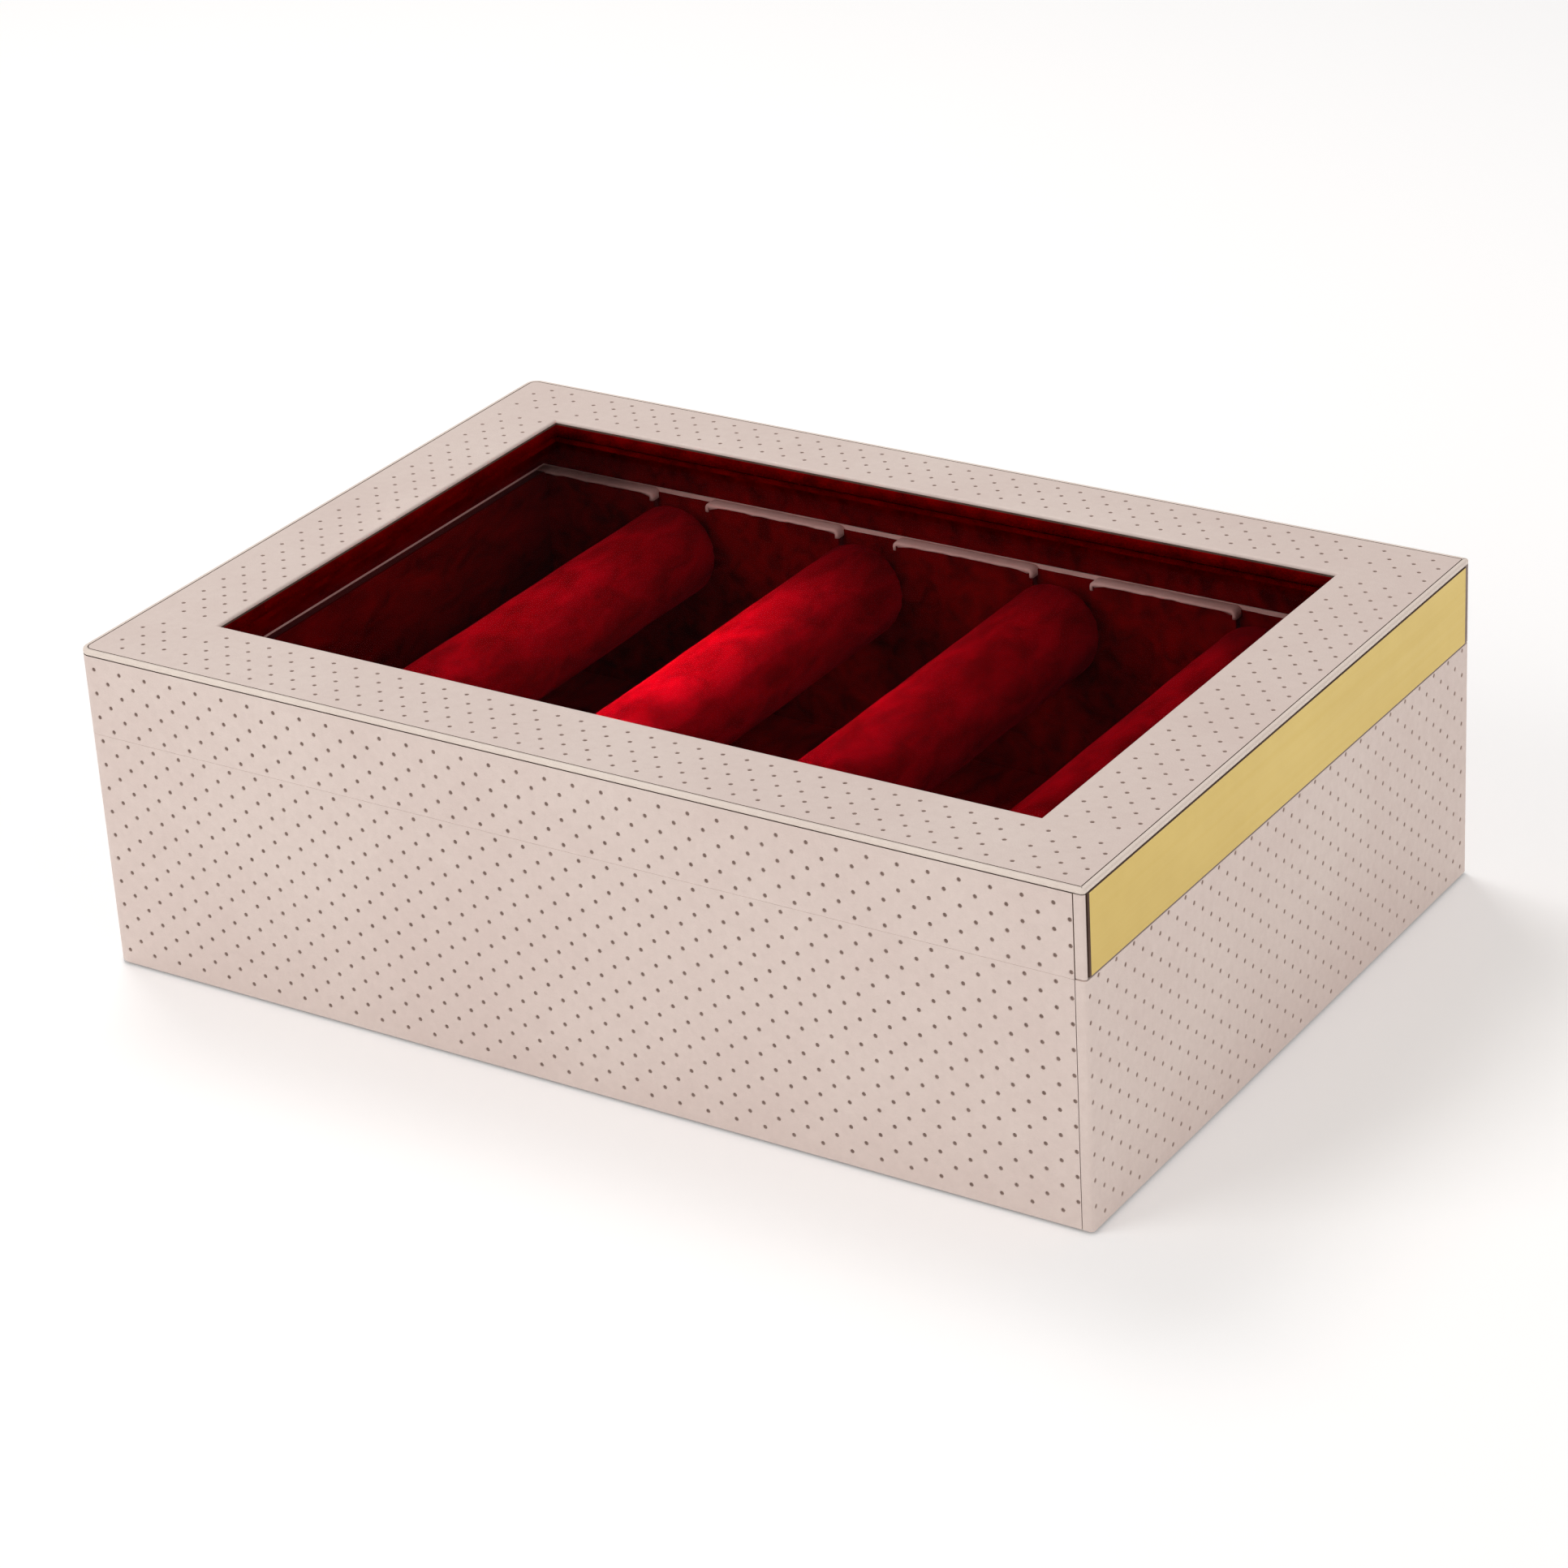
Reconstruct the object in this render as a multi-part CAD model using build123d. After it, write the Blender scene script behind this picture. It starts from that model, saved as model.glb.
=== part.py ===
from build123d import *
from math import radians, tan
import os

# Bangle box: a covered card-and-board case with a windowed lid and four
# velvet rolls. Millimetres, +Z up, origin at the middle of the underside.
# +X is the end with the metal plate, -X the hinged end.

# Case
LENGTH = 290.0
WIDTH = 200.0
HEIGHT = 90.0
JOINT_Z = 66.6
JOINT_GAP = 0.3
BOARD = 3.0
SKIN = 1.0
HINGE_END_R = 3.5
PLATE_END_R = 1.0
SOLE = 0.8
SOLE_INSET = 1.5

# Corner seam of the cover, a little way round from the plate end
SEAM_IN = 3.0
SEAM_GAP = 0.3

# Linings of the base
FLOOR_VELVET = 1.2
LINER = 2.4
LINER_VELVET = 0.8
LINER_DROP = 0.45

# Rolls
ROLL_X = (-91.5, -30.5, 30.5, 91.5)
ROLL_Z = 52.0
ROLL_R = 13.5
ROLL_VELVET = 1.2
ROLL_END_R = 5.0
ROLL_END_GAP = 0.5
CORE_R = 8.0
CAP = 0.7
NECK_OUT = 2.1
SLOT_CLEAR = 0.3
SLOT_LIP_R = 1.2

# Lid
TOP_SKIN = 1.5
TOP_GROOVE = 0.3
TOP_GROOVE_DEPTH = 1.2
TOP_EDGE_R = 0.6
WINDOW_X = 240.0
WINDOW_Y = 150.0
WINDOW_SHIFT_X = -1.0
WINDOW_SHIFT_Y = 2.0
WINDOW_R = 0.8
PANE = 1.5
PANE_LAP = 8.0
RETAINER_LIP = 1.5
RETAINER_SET_BACK = 2.0
LID_VELVET = 0.8
LID_VELVET_RISE = 0.2

# Plate on the lid's end
PLATE = 0.8
PLATE_EDGE_GAP = 0.15
PLATE_SET_IN = 0.6
BACKING = 1.2
BACKING_CLEAR = 0.6
POCKET_WALL = 0.8
PLATE_EDGE_R = 0.25

# Closing magnets
MAGNET = (1.2, 12.0, 5.0)
MAGNET_Y = (-60.0, 60.0)

# Hinges
HINGE_Y = (-60.0, 60.0)
HINGE_WIDTH = 24.0
LEAF = 0.8
LEAF_HEIGHT = 11.0
BARREL_R = 1.7
BARREL_GAP = 0.2
MIDDLE_KNUCKLE = 8.0
PIN_R = 0.8
PIN_FIT = 0.06
PIN_HEAD_R = 1.3
PIN_HEAD = 0.5
STOP_ANGLE = 96.0
STOP_FACE = 2.35
STOP_THICK = 0.8
STOP_WIDTH = 6.0
SCREW_Y = (-8.0, 0.0, 8.0)
SCREW_Z = (4.2, 8.4, 4.2)
SCREW_R = 0.6
SCREW_HOLE_R = 0.75
SCREW_HEAD_R = 1.5
SCREW_HEAD = 0.7
SCREW_LENGTH = 4.0
SCREW_SLOT = 0.4
LEAF_CORNER_R = 1.2

# Levels and faces that follow from the sizes above
HALF_X = LENGTH / 2
HALF_Y = WIDTH / 2
BASE_TOP = JOINT_Z - JOINT_GAP / 2
LID_BOTTOM = JOINT_Z + JOINT_GAP / 2
FLOOR_TOP = SOLE + BOARD
SEAM_X = HALF_X - SEAM_IN
INNER_X = HALF_X - SKIN - BOARD
INNER_Y = HALF_Y - SKIN - BOARD
LINED_X = INNER_X - SKIN
LINED_Y = INNER_Y - SKIN
LINER_BOTTOM = FLOOR_TOP + FLOOR_VELVET
LINER_TOP = BASE_TOP - LINER_DROP
LINER_X = LINED_X - LINER
LINER_Y = LINED_Y - LINER
VELVET_X = LINER_X - LINER_VELVET
VELVET_Y = LINER_Y - LINER_VELVET
WALL_TOP = HEIGHT - TOP_SKIN
BOARD_BOTTOM = WALL_TOP - BOARD
PANE_BOTTOM = BOARD_BOTTOM - PANE
RETAINER_BOTTOM = PANE_BOTTOM - RETAINER_LIP
NECK_R = CORE_R + CAP
SLOT_R = NECK_R + SLOT_CLEAR
ROLL_HALF = VELVET_Y - ROLL_END_GAP
NECK_HALF = VELVET_Y + NECK_OUT
POCKET_HALF_Y = HALF_Y - POCKET_WALL
BACKING_HALF_Y = POCKET_HALF_Y - BACKING_CLEAR
PLATE_HALF_Y = BACKING_HALF_Y - PLATE_SET_IN
PLATE_BACK = HALF_X - PLATE
BACKING_BACK = PLATE_BACK - BACKING
PLATE_BOTTOM = LID_BOTTOM + PLATE_EDGE_GAP
PLATE_TOP = WALL_TOP - PLATE_EDGE_GAP
AXIS_X = -HALF_X - BARREL_R
MAGNET_X = INNER_X + SKIN


def block(x0, x1, y0, y1, z0, z1):
    """Box between two corners."""
    return Pos((x0 + x1) / 2, (y0 + y1) / 2, (z0 + z1) / 2) * Box(x1 - x0, y1 - y0, z1 - z0)


def middle(half_x, half_y, z0, z1):
    """Box centred on the origin in plan."""
    return block(-half_x, half_x, -half_y, half_y, z0, z1)


def case_block(inset, z0, z1):
    """The case's plan, drawn in by an inset, with its own radius at each end."""
    solid = middle(HALF_X - inset, HALF_Y - inset, z0, z1)
    upright = solid.edges().filter_by(Axis.Z)
    hinge_r = HINGE_END_R - inset
    plate_r = PLATE_END_R - inset
    if hinge_r > 0:
        solid = fillet(upright.group_by(Axis.X)[0], hinge_r)
    if plate_r > 0:
        edges = solid.edges().filter_by(Axis.Z).filter_by(lambda e: e.center().X > HALF_X - inset - 0.1)
        solid = fillet(edges, plate_r)
    return solid


def lying(radius, half_length, x, z):
    """Cylinder along Y."""
    return Pos(x, 0, z) * Rot(90, 0, 0) * Cylinder(radius, 2 * half_length)


def across(radius, x0, x1, y, z):
    """Cylinder along X between two faces."""
    return Pos((x0 + x1) / 2, y, z) * Rot(0, 90, 0) * Cylinder(radius, x1 - x0)


def save(name, shape):
    """Writes one node, as one solid or a group of separate solids."""
    solids = shape.solids()
    export_step(Compound(children=solids) if len(solids) > 1 else solids[0], f"parts/{name}.step")


def walls(z0, z1, plate_end_x):
    """The four upright boards as a dictionary, the long ones lapping the short."""
    ring = case_block(SKIN, z0, z1) - middle(INNER_X, INNER_Y, z0, z1)
    ring -= block(plate_end_x, HALF_X, -HALF_Y, HALF_Y, z0, z1)
    return {
        "front": ring & block(-HALF_X, HALF_X, -HALF_Y, -INNER_Y, z0, z1),
        "rear": ring & block(-HALF_X, HALF_X, INNER_Y, HALF_Y, z0, z1),
        "hinge_end": ring & block(-HALF_X, -INNER_X, -INNER_Y, INNER_Y, z0, z1),
        "plate_end": ring & block(INNER_X, HALF_X, -INNER_Y, INNER_Y, z0, z1),
    }


def split_cover(cover, z0, z1):
    """The wrap of three sides and the piece folded round the plate end and into it."""
    turn_in = block(LINED_X, HALF_X, -LINED_Y, LINED_Y, z0, z1)
    wrap = cover & block(-HALF_X, SEAM_X, -HALF_Y, HALF_Y, z0, z1)
    end = cover & (block(SEAM_X + SEAM_GAP, HALF_X, -HALF_Y, HALF_Y, z0, z1) + turn_in)
    return wrap - turn_in, end


def magnet_set(z0):
    """The bar magnets of one half, let into the edge of the plate-end board."""
    thick, long, tall = MAGNET
    bars = [
        block(MAGNET_X - thick / 2, MAGNET_X + thick / 2, y - long / 2, y + long / 2, z0, z0 + tall)
        for y in MAGNET_Y
    ]
    return bars


def screw_places(direction):
    """Centres of one half's hinge screws, below the joint for -1 and above for 1."""
    return [
        (y + dy, JOINT_Z + direction * (BARREL_R + BARREL_GAP + dz))
        for y in HINGE_Y
        for dy, dz in zip(SCREW_Y, SCREW_Z)
    ]


def screw(y, z):
    """Slotted round-head screw through a leaf into the board behind it."""
    face = -HALF_X - LEAF
    head = across(SCREW_HEAD_R, face - SCREW_HEAD, face, y, z)
    rim = head.edges().filter_by(GeomType.CIRCLE).sort_by(Axis.X)[0]
    head = fillet(rim, SCREW_HEAD * 0.7)
    slot = block(face - SCREW_HEAD, face - SCREW_HEAD / 2, y - SCREW_HEAD_R, y + SCREW_HEAD_R,
                 z - SCREW_SLOT / 2, z + SCREW_SLOT / 2)
    return head - slot + across(SCREW_R, face, face + SCREW_LENGTH, y, z)


def screw_holes(radius, x0, x1, direction):
    """Holes for one half's screws."""
    return [across(radius, x0, x1, y, z) for y, z in screw_places(direction)]


def stop_reach():
    """How far a stop passes the pin line for the two to meet at the stop angle."""
    return STOP_FACE / tan(radians(STOP_ANGLE / 2))


def leaf(y, direction, knuckle_spans, bore):
    """One hinge leaf with its knuckles and stop, under or over the pin line."""
    near = BARREL_R + BARREL_GAP
    low, high = sorted((JOINT_Z + direction * near, JOINT_Z + direction * (near + LEAF_HEIGHT)))
    plate = block(-HALF_X - LEAF, -HALF_X, y - HINGE_WIDTH / 2, y + HINGE_WIDTH / 2, low, high)
    far = plate.edges().filter_by(Axis.X).group_by(Axis.Z)[-1 if direction > 0 else 0]
    plate = fillet(far, LEAF_CORNER_R)
    for start, end in knuckle_spans:
        low, high = sorted((JOINT_Z, JOINT_Z + direction * (near + 1)))
        plate += block(-HALF_X - LEAF, -HALF_X, y + start, y + end, low, high)
        plate += Pos(0, y + (start + end) / 2, 0) * lying(BARREL_R, (end - start) / 2, AXIS_X, JOINT_Z)
    low, high = sorted((JOINT_Z + direction * STOP_FACE, JOINT_Z + direction * (STOP_FACE + STOP_THICK)))
    plate += block(AXIS_X - stop_reach(), -HALF_X, y - STOP_WIDTH / 2, y + STOP_WIDTH / 2, low, high)
    return plate - Pos(0, y, 0) * lying(bore, HINGE_WIDTH, AXIS_X, JOINT_Z)


def hinge_pin(y):
    """Pin with a flat head at each end of the barrel."""
    half = HINGE_WIDTH / 2 + BARREL_GAP / 2
    pin = lying(PIN_R, half + PIN_HEAD, AXIS_X, JOINT_Z)
    for side in (-1, 1):
        pin += Pos(0, side * (half + PIN_HEAD / 2), 0) * lying(PIN_HEAD_R, PIN_HEAD / 2, AXIS_X, JOINT_Z)
    return Pos(0, y, 0) * pin


def slotted(y0, y1, half_x):
    """A long lining board with a round-bottomed slot for each roll's neck."""
    board = block(-half_x, half_x, y0, y1, LINER_BOTTOM, LINER_TOP)
    mid_y = (y0 + y1) / 2
    for x in ROLL_X:
        board -= block(x - SLOT_R, x + SLOT_R, y0, y1, ROLL_Z, LINER_TOP)
        board -= Pos(0, mid_y, 0) * lying(SLOT_R, (y1 - y0) / 2, x, ROLL_Z)
    lips = board.edges().filter_by(Axis.Y).filter_by(
        lambda e: e.center().Z > LINER_TOP - 0.01 and abs(e.center().X) < half_x - 0.01
    )
    return fillet(lips, SLOT_LIP_R)


def roll_pieces(x):
    """Core, padding, velvet and end caps of one roll."""
    inner_r = ROLL_R - ROLL_VELVET
    inner_half = ROLL_HALF - ROLL_VELVET
    core = lying(CORE_R, NECK_HALF - CAP, x, ROLL_Z)
    bore = lying(CORE_R, NECK_HALF, x, ROLL_Z)
    padding = lying(inner_r, inner_half, x, ROLL_Z)
    padding = fillet(padding.edges().filter_by(GeomType.CIRCLE), ROLL_END_R - ROLL_VELVET)
    velvet = lying(ROLL_R, ROLL_HALF, x, ROLL_Z)
    velvet = fillet(velvet.edges().filter_by(GeomType.CIRCLE), ROLL_END_R)
    velvet = velvet - padding - bore
    caps = lying(NECK_R, NECK_HALF, x, ROLL_Z)
    caps = fillet(caps.edges().filter_by(GeomType.CIRCLE), CAP)
    caps = caps - lying(NECK_R, ROLL_HALF, x, ROLL_Z) - core
    return {"core": core, "padding": padding - bore, "velvet": velvet, "end_caps": caps}


def window_cut(grow, z0, z1):
    """The window's opening, let out by a margin."""
    x = WINDOW_X / 2 + grow
    y = WINDOW_Y / 2 + grow
    return block(WINDOW_SHIFT_X - x, WINDOW_SHIFT_X + x, WINDOW_SHIFT_Y - y, WINDOW_SHIFT_Y + y, z0, z1)


def make_base():
    """Boards, cover, linings, magnets and hinge halves of the base."""
    board_top = BASE_TOP - SKIN
    save("base_sole", middle(HALF_X - SOLE_INSET, HALF_Y - SOLE_INSET, 0, SOLE))
    save("base_floor_board", middle(INNER_X, INNER_Y, SOLE, FLOOR_TOP))
    magnets = magnet_set(board_top - MAGNET[2])
    boards = walls(SOLE, board_top, HALF_X - SKIN)
    boards["plate_end"] -= magnets
    boards["hinge_end"] -= screw_holes(SCREW_R, -HALF_X, -INNER_X, -1)
    for side, board in boards.items():
        save(f"base_board_{side}", board)
    save("base_magnets", Compound(children=magnets))

    cover = case_block(0, SOLE, BASE_TOP) - case_block(SKIN, SOLE, board_top)
    cover += case_block(SKIN, board_top, BASE_TOP)
    cover += middle(INNER_X, INNER_Y, FLOOR_TOP, BASE_TOP)
    cover -= middle(LINED_X, LINED_Y, SOLE, BASE_TOP)
    cover -= screw_holes(SCREW_R, -HALF_X, -HALF_X + SKIN, -1)
    rim = cover.edges().group_by(Axis.Z)[-1].filter_by(
        lambda e: max(abs(e.center().X) - HALF_X, abs(e.center().Y) - HALF_Y) > -PLATE_END_R - 0.1
    )
    cover = fillet(rim, SKIN * 0.5)
    wrap, end = split_cover(cover, SOLE, BASE_TOP)
    save("base_cover_wrap", wrap)
    save("base_cover_end", end)

    save("base_floor_velvet", middle(LINED_X, LINED_Y, FLOOR_TOP, LINER_BOTTOM))
    save("liner_front", slotted(-LINED_Y, -LINER_Y, LINED_X))
    save("liner_rear", slotted(LINER_Y, LINED_Y, LINED_X))
    save("liner_velvet_front", slotted(-LINER_Y, -VELVET_Y, LINED_X))
    save("liner_velvet_rear", slotted(VELVET_Y, LINER_Y, LINED_X))
    for side, sign in (("hinge_end", -1), ("plate_end", 1)):
        near, far = sorted((sign * LINER_X, sign * LINED_X))
        save(f"liner_{side}", block(near, far, -VELVET_Y, VELVET_Y, LINER_BOTTOM, LINER_TOP))
        near, far = sorted((sign * VELVET_X, sign * LINER_X))
        save(f"liner_velvet_{side}", block(near, far, -VELVET_Y, VELVET_Y, LINER_BOTTOM, LINER_TOP))


def make_rolls():
    """Four equal rolls lying across the case."""
    for number, x in enumerate(ROLL_X, 1):
        for piece, shape in roll_pieces(x).items():
            save(f"roll_{number}_{piece}", shape)


def make_lid():
    """Boards, cover, window, linings, plate, magnets and hinge halves of the lid."""
    board_bottom = LID_BOTTOM + SKIN
    magnets = magnet_set(board_bottom)
    boards = walls(board_bottom, WALL_TOP, BACKING_BACK)
    boards["plate_end"] -= magnets
    boards["hinge_end"] -= screw_holes(SCREW_R, -HALF_X, -INNER_X, 1)
    for side, board in boards.items():
        save(f"lid_board_{side}", board)
    save("lid_magnets", Compound(children=magnets))

    cover = case_block(0, LID_BOTTOM, WALL_TOP) - case_block(SKIN, board_bottom, WALL_TOP)
    cover += middle(INNER_X, INNER_Y, board_bottom, RETAINER_BOTTOM)
    cover -= middle(LINED_X, LINED_Y, LID_BOTTOM, WALL_TOP)
    cover -= screw_holes(SCREW_R, -HALF_X, -HALF_X + SKIN, 1)
    rim = cover.edges().group_by(Axis.Z)[0].filter_by(
        lambda e: max(abs(e.center().X) - HALF_X, abs(e.center().Y) - HALF_Y) > -PLATE_END_R - 0.1
    )
    cover = fillet(rim, SKIN * 0.5)
    wrap, end = split_cover(cover, LID_BOTTOM, WALL_TOP)
    end -= block(BACKING_BACK, HALF_X, -POCKET_HALF_Y, POCKET_HALF_Y, LID_BOTTOM, WALL_TOP)
    save("lid_cover_wrap", wrap)
    save("lid_cover_end", end)

    save("plate_backing", block(BACKING_BACK, PLATE_BACK, -BACKING_HALF_Y, BACKING_HALF_Y,
                                PLATE_BOTTOM, PLATE_TOP))
    plate = block(PLATE_BACK, HALF_X, -PLATE_HALF_Y, PLATE_HALF_Y, PLATE_BOTTOM, PLATE_TOP)
    save("end_plate", chamfer(plate.faces().sort_by(Axis.X)[-1].edges(), PLATE_EDGE_R))

    panel = middle(INNER_X, INNER_Y, BOARD_BOTTOM, WALL_TOP)
    save("lid_top_board", panel - window_cut(SKIN, BOARD_BOTTOM, WALL_TOP))
    top = case_block(0, WALL_TOP, HEIGHT)
    top = fillet(top.edges().group_by(Axis.Z)[-1], TOP_EDGE_R)
    groove = case_block(0, WALL_TOP, WALL_TOP + TOP_GROOVE)
    groove -= middle(HALF_X - TOP_GROOVE_DEPTH, HALF_Y - TOP_GROOVE_DEPTH, WALL_TOP, WALL_TOP + TOP_GROOVE)
    top -= groove
    top += window_cut(SKIN, BOARD_BOTTOM, WALL_TOP)
    top -= window_cut(0, BOARD_BOTTOM, HEIGHT)
    inner = top.edges().group_by(Axis.Z)[-1].filter_by(
        lambda e: abs(e.center().X) < INNER_X - BOARD and abs(e.center().Y) < INNER_Y - BOARD
    )
    save("lid_top_cover", fillet(inner, WINDOW_R))

    pane = window_cut(PANE_LAP, PANE_BOTTOM, BOARD_BOTTOM)
    save("window_pane", pane)
    retainer = middle(INNER_X, INNER_Y, RETAINER_BOTTOM, BOARD_BOTTOM) - pane
    save("pane_retainer", retainer - window_cut(RETAINER_SET_BACK, RETAINER_BOTTOM, BOARD_BOTTOM))
    lining_bottom = LID_BOTTOM + LID_VELVET_RISE
    lining = middle(LINED_X, LINED_Y, lining_bottom, RETAINER_BOTTOM)
    lining -= middle(LINED_X - LID_VELVET, LINED_Y - LID_VELVET, lining_bottom, RETAINER_BOTTOM)
    save("lid_velvet_lining", lining)


def make_hinges():
    """Leaves, pins and screws of both hinges."""
    half = HINGE_WIDTH / 2
    knuckle = MIDDLE_KNUCKLE / 2
    middle_span = [(-knuckle, knuckle)]
    outer_spans = [(-half, -knuckle - BARREL_GAP), (knuckle + BARREL_GAP, half)]
    for name, direction, spans, bore in (
        ("base", -1, middle_span, PIN_R),
        ("lid", 1, outer_spans, PIN_R + PIN_FIT),
    ):
        leaves = [leaf(y, direction, spans, bore) for y in HINGE_Y]
        leaves = Compound(children=[s for one in leaves for s in one.solids()])
        leaves -= screw_holes(SCREW_HOLE_R, -HALF_X - LEAF, -HALF_X, direction)
        save(f"hinge_leaves_{name}", leaves)
        save(f"hinge_screws_{name}", Compound(children=[screw(y, z) for y, z in screw_places(direction)]))
    save("hinge_pins", Compound(children=[hinge_pin(y) for y in HINGE_Y]))


os.makedirs("parts", exist_ok=True)
make_base()
make_rolls()
make_lid()
make_hinges()
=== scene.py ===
"""Looks of the bangle box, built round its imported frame.

Lengths inside the classes are millimetres in the frame's axes: X along the box, with the gold plate at +X,
Y across it and Z up from the table. They become metres when a mesh is made.
"""

import logging
import math
from collections.abc import Callable, Iterable, Sequence
from dataclasses import dataclass, field, replace
from enum import Enum

import bmesh
import bpy
from mathutils import Matrix, Vector, noise


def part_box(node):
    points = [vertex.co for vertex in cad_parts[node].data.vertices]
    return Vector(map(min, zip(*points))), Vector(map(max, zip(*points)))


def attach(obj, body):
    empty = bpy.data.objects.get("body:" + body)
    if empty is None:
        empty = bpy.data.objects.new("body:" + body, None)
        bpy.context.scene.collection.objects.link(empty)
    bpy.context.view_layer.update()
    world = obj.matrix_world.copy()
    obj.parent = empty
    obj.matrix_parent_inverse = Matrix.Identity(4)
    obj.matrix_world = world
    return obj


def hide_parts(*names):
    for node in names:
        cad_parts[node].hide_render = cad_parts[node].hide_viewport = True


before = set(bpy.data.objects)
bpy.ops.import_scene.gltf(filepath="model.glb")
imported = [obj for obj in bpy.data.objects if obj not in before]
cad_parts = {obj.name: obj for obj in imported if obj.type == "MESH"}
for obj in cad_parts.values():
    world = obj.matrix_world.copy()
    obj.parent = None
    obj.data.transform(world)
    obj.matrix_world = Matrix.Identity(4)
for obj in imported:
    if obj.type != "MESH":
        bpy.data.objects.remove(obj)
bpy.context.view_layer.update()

MM = 0.001
X, Y, Z = range(3)
log = logging.getLogger("bangle_box")

Plan = tuple[float, float]
Triple = tuple[float, float, float]
Colour = Triple
Range = tuple[float, float, float, float]
Bound = tuple[Plan, Plan]
Socket = bpy.types.NodeSocket
Value = float | int | tuple[float, ...] | Socket


def span(node: str, axis: int) -> Plan:
    """Lowest and highest coordinate of a CAD node along an axis, in millimetres."""
    low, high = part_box(node)
    return round(low[axis] / MM, 2), round(high[axis] / MM, 2)


def width(node: str, axis: int) -> float:
    """Size of a CAD node along an axis, in millimetres."""
    low, high = span(node, axis)
    return round(high - low, 2)


# Sizes read from the frame

HALF_X = span("lid_top_cover", X)[1]
HALF_Y = span("lid_top_cover", Y)[1]
WINDOW_FOOT, TOP = span("lid_top_cover", Z)
TOP_UNDER = span("lid_cover_wrap", Z)[1]
SEAM_X = span("base_cover_wrap", X)[1]
COVER_FOOT = span("base_cover_wrap", Z)[0]
JOINT = (span("base_cover_wrap", Z)[1] + span("lid_cover_wrap", Z)[0]) / 2
FLOOR_BOARD_TOP, FLOOR_TOP = span("base_floor_velvet", Z)
RETAINER_FOOT = span("pane_retainer", Z)[0]
LINED_X = span("lid_velvet_lining", X)[1]
LINED_Y = span("lid_velvet_lining", Y)[1]
ROLLS = (1, 2, 3, 4)
ROLL_X = tuple(sum(span(f"roll_{number}_velvet", X)) / 2 for number in ROLLS)
ROLL_Z = sum(span("roll_1_velvet", Z)) / 2
ROLL_RADIUS = width("roll_1_velvet", X) / 2
ROLL_HALF = width("roll_1_velvet", Y) / 2
NECK_RADIUS = width("roll_1_end_caps", X) / 2
NECK_HALF = width("roll_1_end_caps", Y) / 2

# Sizes that the frame's boxes don't give

SKIN = 1.0
BOARD = 3.0
HINGE_END_RADIUS = 3.5
PLATE_END_RADIUS = 1.0
NECK_PLAY = 0.3
PANE_HELD = 8.0
NEAR = 1e-4


def window_range() -> Range:
    """The window in plan: the pane less the border that is held under the top."""
    (x0, x1), (y0, y1) = span("window_pane", X), span("window_pane", Y)
    return x0 + PANE_HELD, x1 - PANE_HELD, y0 + PANE_HELD, y1 - PANE_HELD


class Side(Enum):
    """The two long sides of the box."""

    FRONT = -1
    REAR = 1


class Fold(Enum):
    """Which way a cover's turned edge faces."""

    UP = 1
    DOWN = -1


# Shapes


@dataclass(frozen=True)
class Lattice:
    """Centred lattice of punched holes in a sheet.

    Args:
        step_u: Half the lattice's cell along the sheet's first direction.
        step_v: Half the cell along its second direction.
        start_u: Place of one hole along the first direction.
        start_v: Place of the same hole along the second direction.
        radius: Radius of a hole below its lip.
        depth: How deep a hole goes.
        lip: How far the surface dips in round a hole.
        margin: Least distance from a hole to its tile's border.
    """

    step_u: float
    step_v: float
    start_u: float
    start_v: float
    radius: float = 0.56
    depth: float = 0.6
    lip: float = 0.2
    margin: float = 0.25

    def moved(self, along: float) -> "Lattice":
        """The same lattice further along the sheet's first direction."""
        return replace(self, start_u=self.start_u + along)

    def lines(self, low: float, high: float, start: float, step: float) -> list[float]:
        """Tile borders inside a range, half-way between holes.

        Args:
            low, high: The range.
            start: Place of one hole.
            step: Distance between borders.

        Returns:
            The borders' coordinates, in order.
        """
        first = math.ceil((low - start) / step - 0.5)
        last = math.floor((high - start) / step - 0.5)
        return [start + (k + 0.5) * step for k in range(first, last + 1)]

    def hole(self, u0: float, u1: float, v0: float, v1: float) -> Plan | None:
        """The hole of one tile, if the lattice has one there and it fits.

        Args:
            u0, u1: The tile's range along the first direction.
            v0, v1: The tile's range along the second direction.

        Returns:
            The hole's centre, or None.
        """
        i = round(((u0 + u1) / 2 - self.start_u) / self.step_u)
        j = round(((v0 + v1) / 2 - self.start_v) / self.step_v)
        if (i + j) % 2:
            return None
        u, v = self.start_u + i * self.step_u, self.start_v + j * self.step_v
        room = self.radius + self.margin
        if u - room < u0 or u + room > u1 or v - room < v0 or v + room > v1:
            return None
        return u, v

    def rings(self) -> tuple[Plan, ...]:
        """Radius and depth of each ring of a hole, from the surface to its floor."""
        return (self.radius + self.lip, 0), (self.radius, self.lip * 0.8), (self.radius * 0.86, self.depth)


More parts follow.
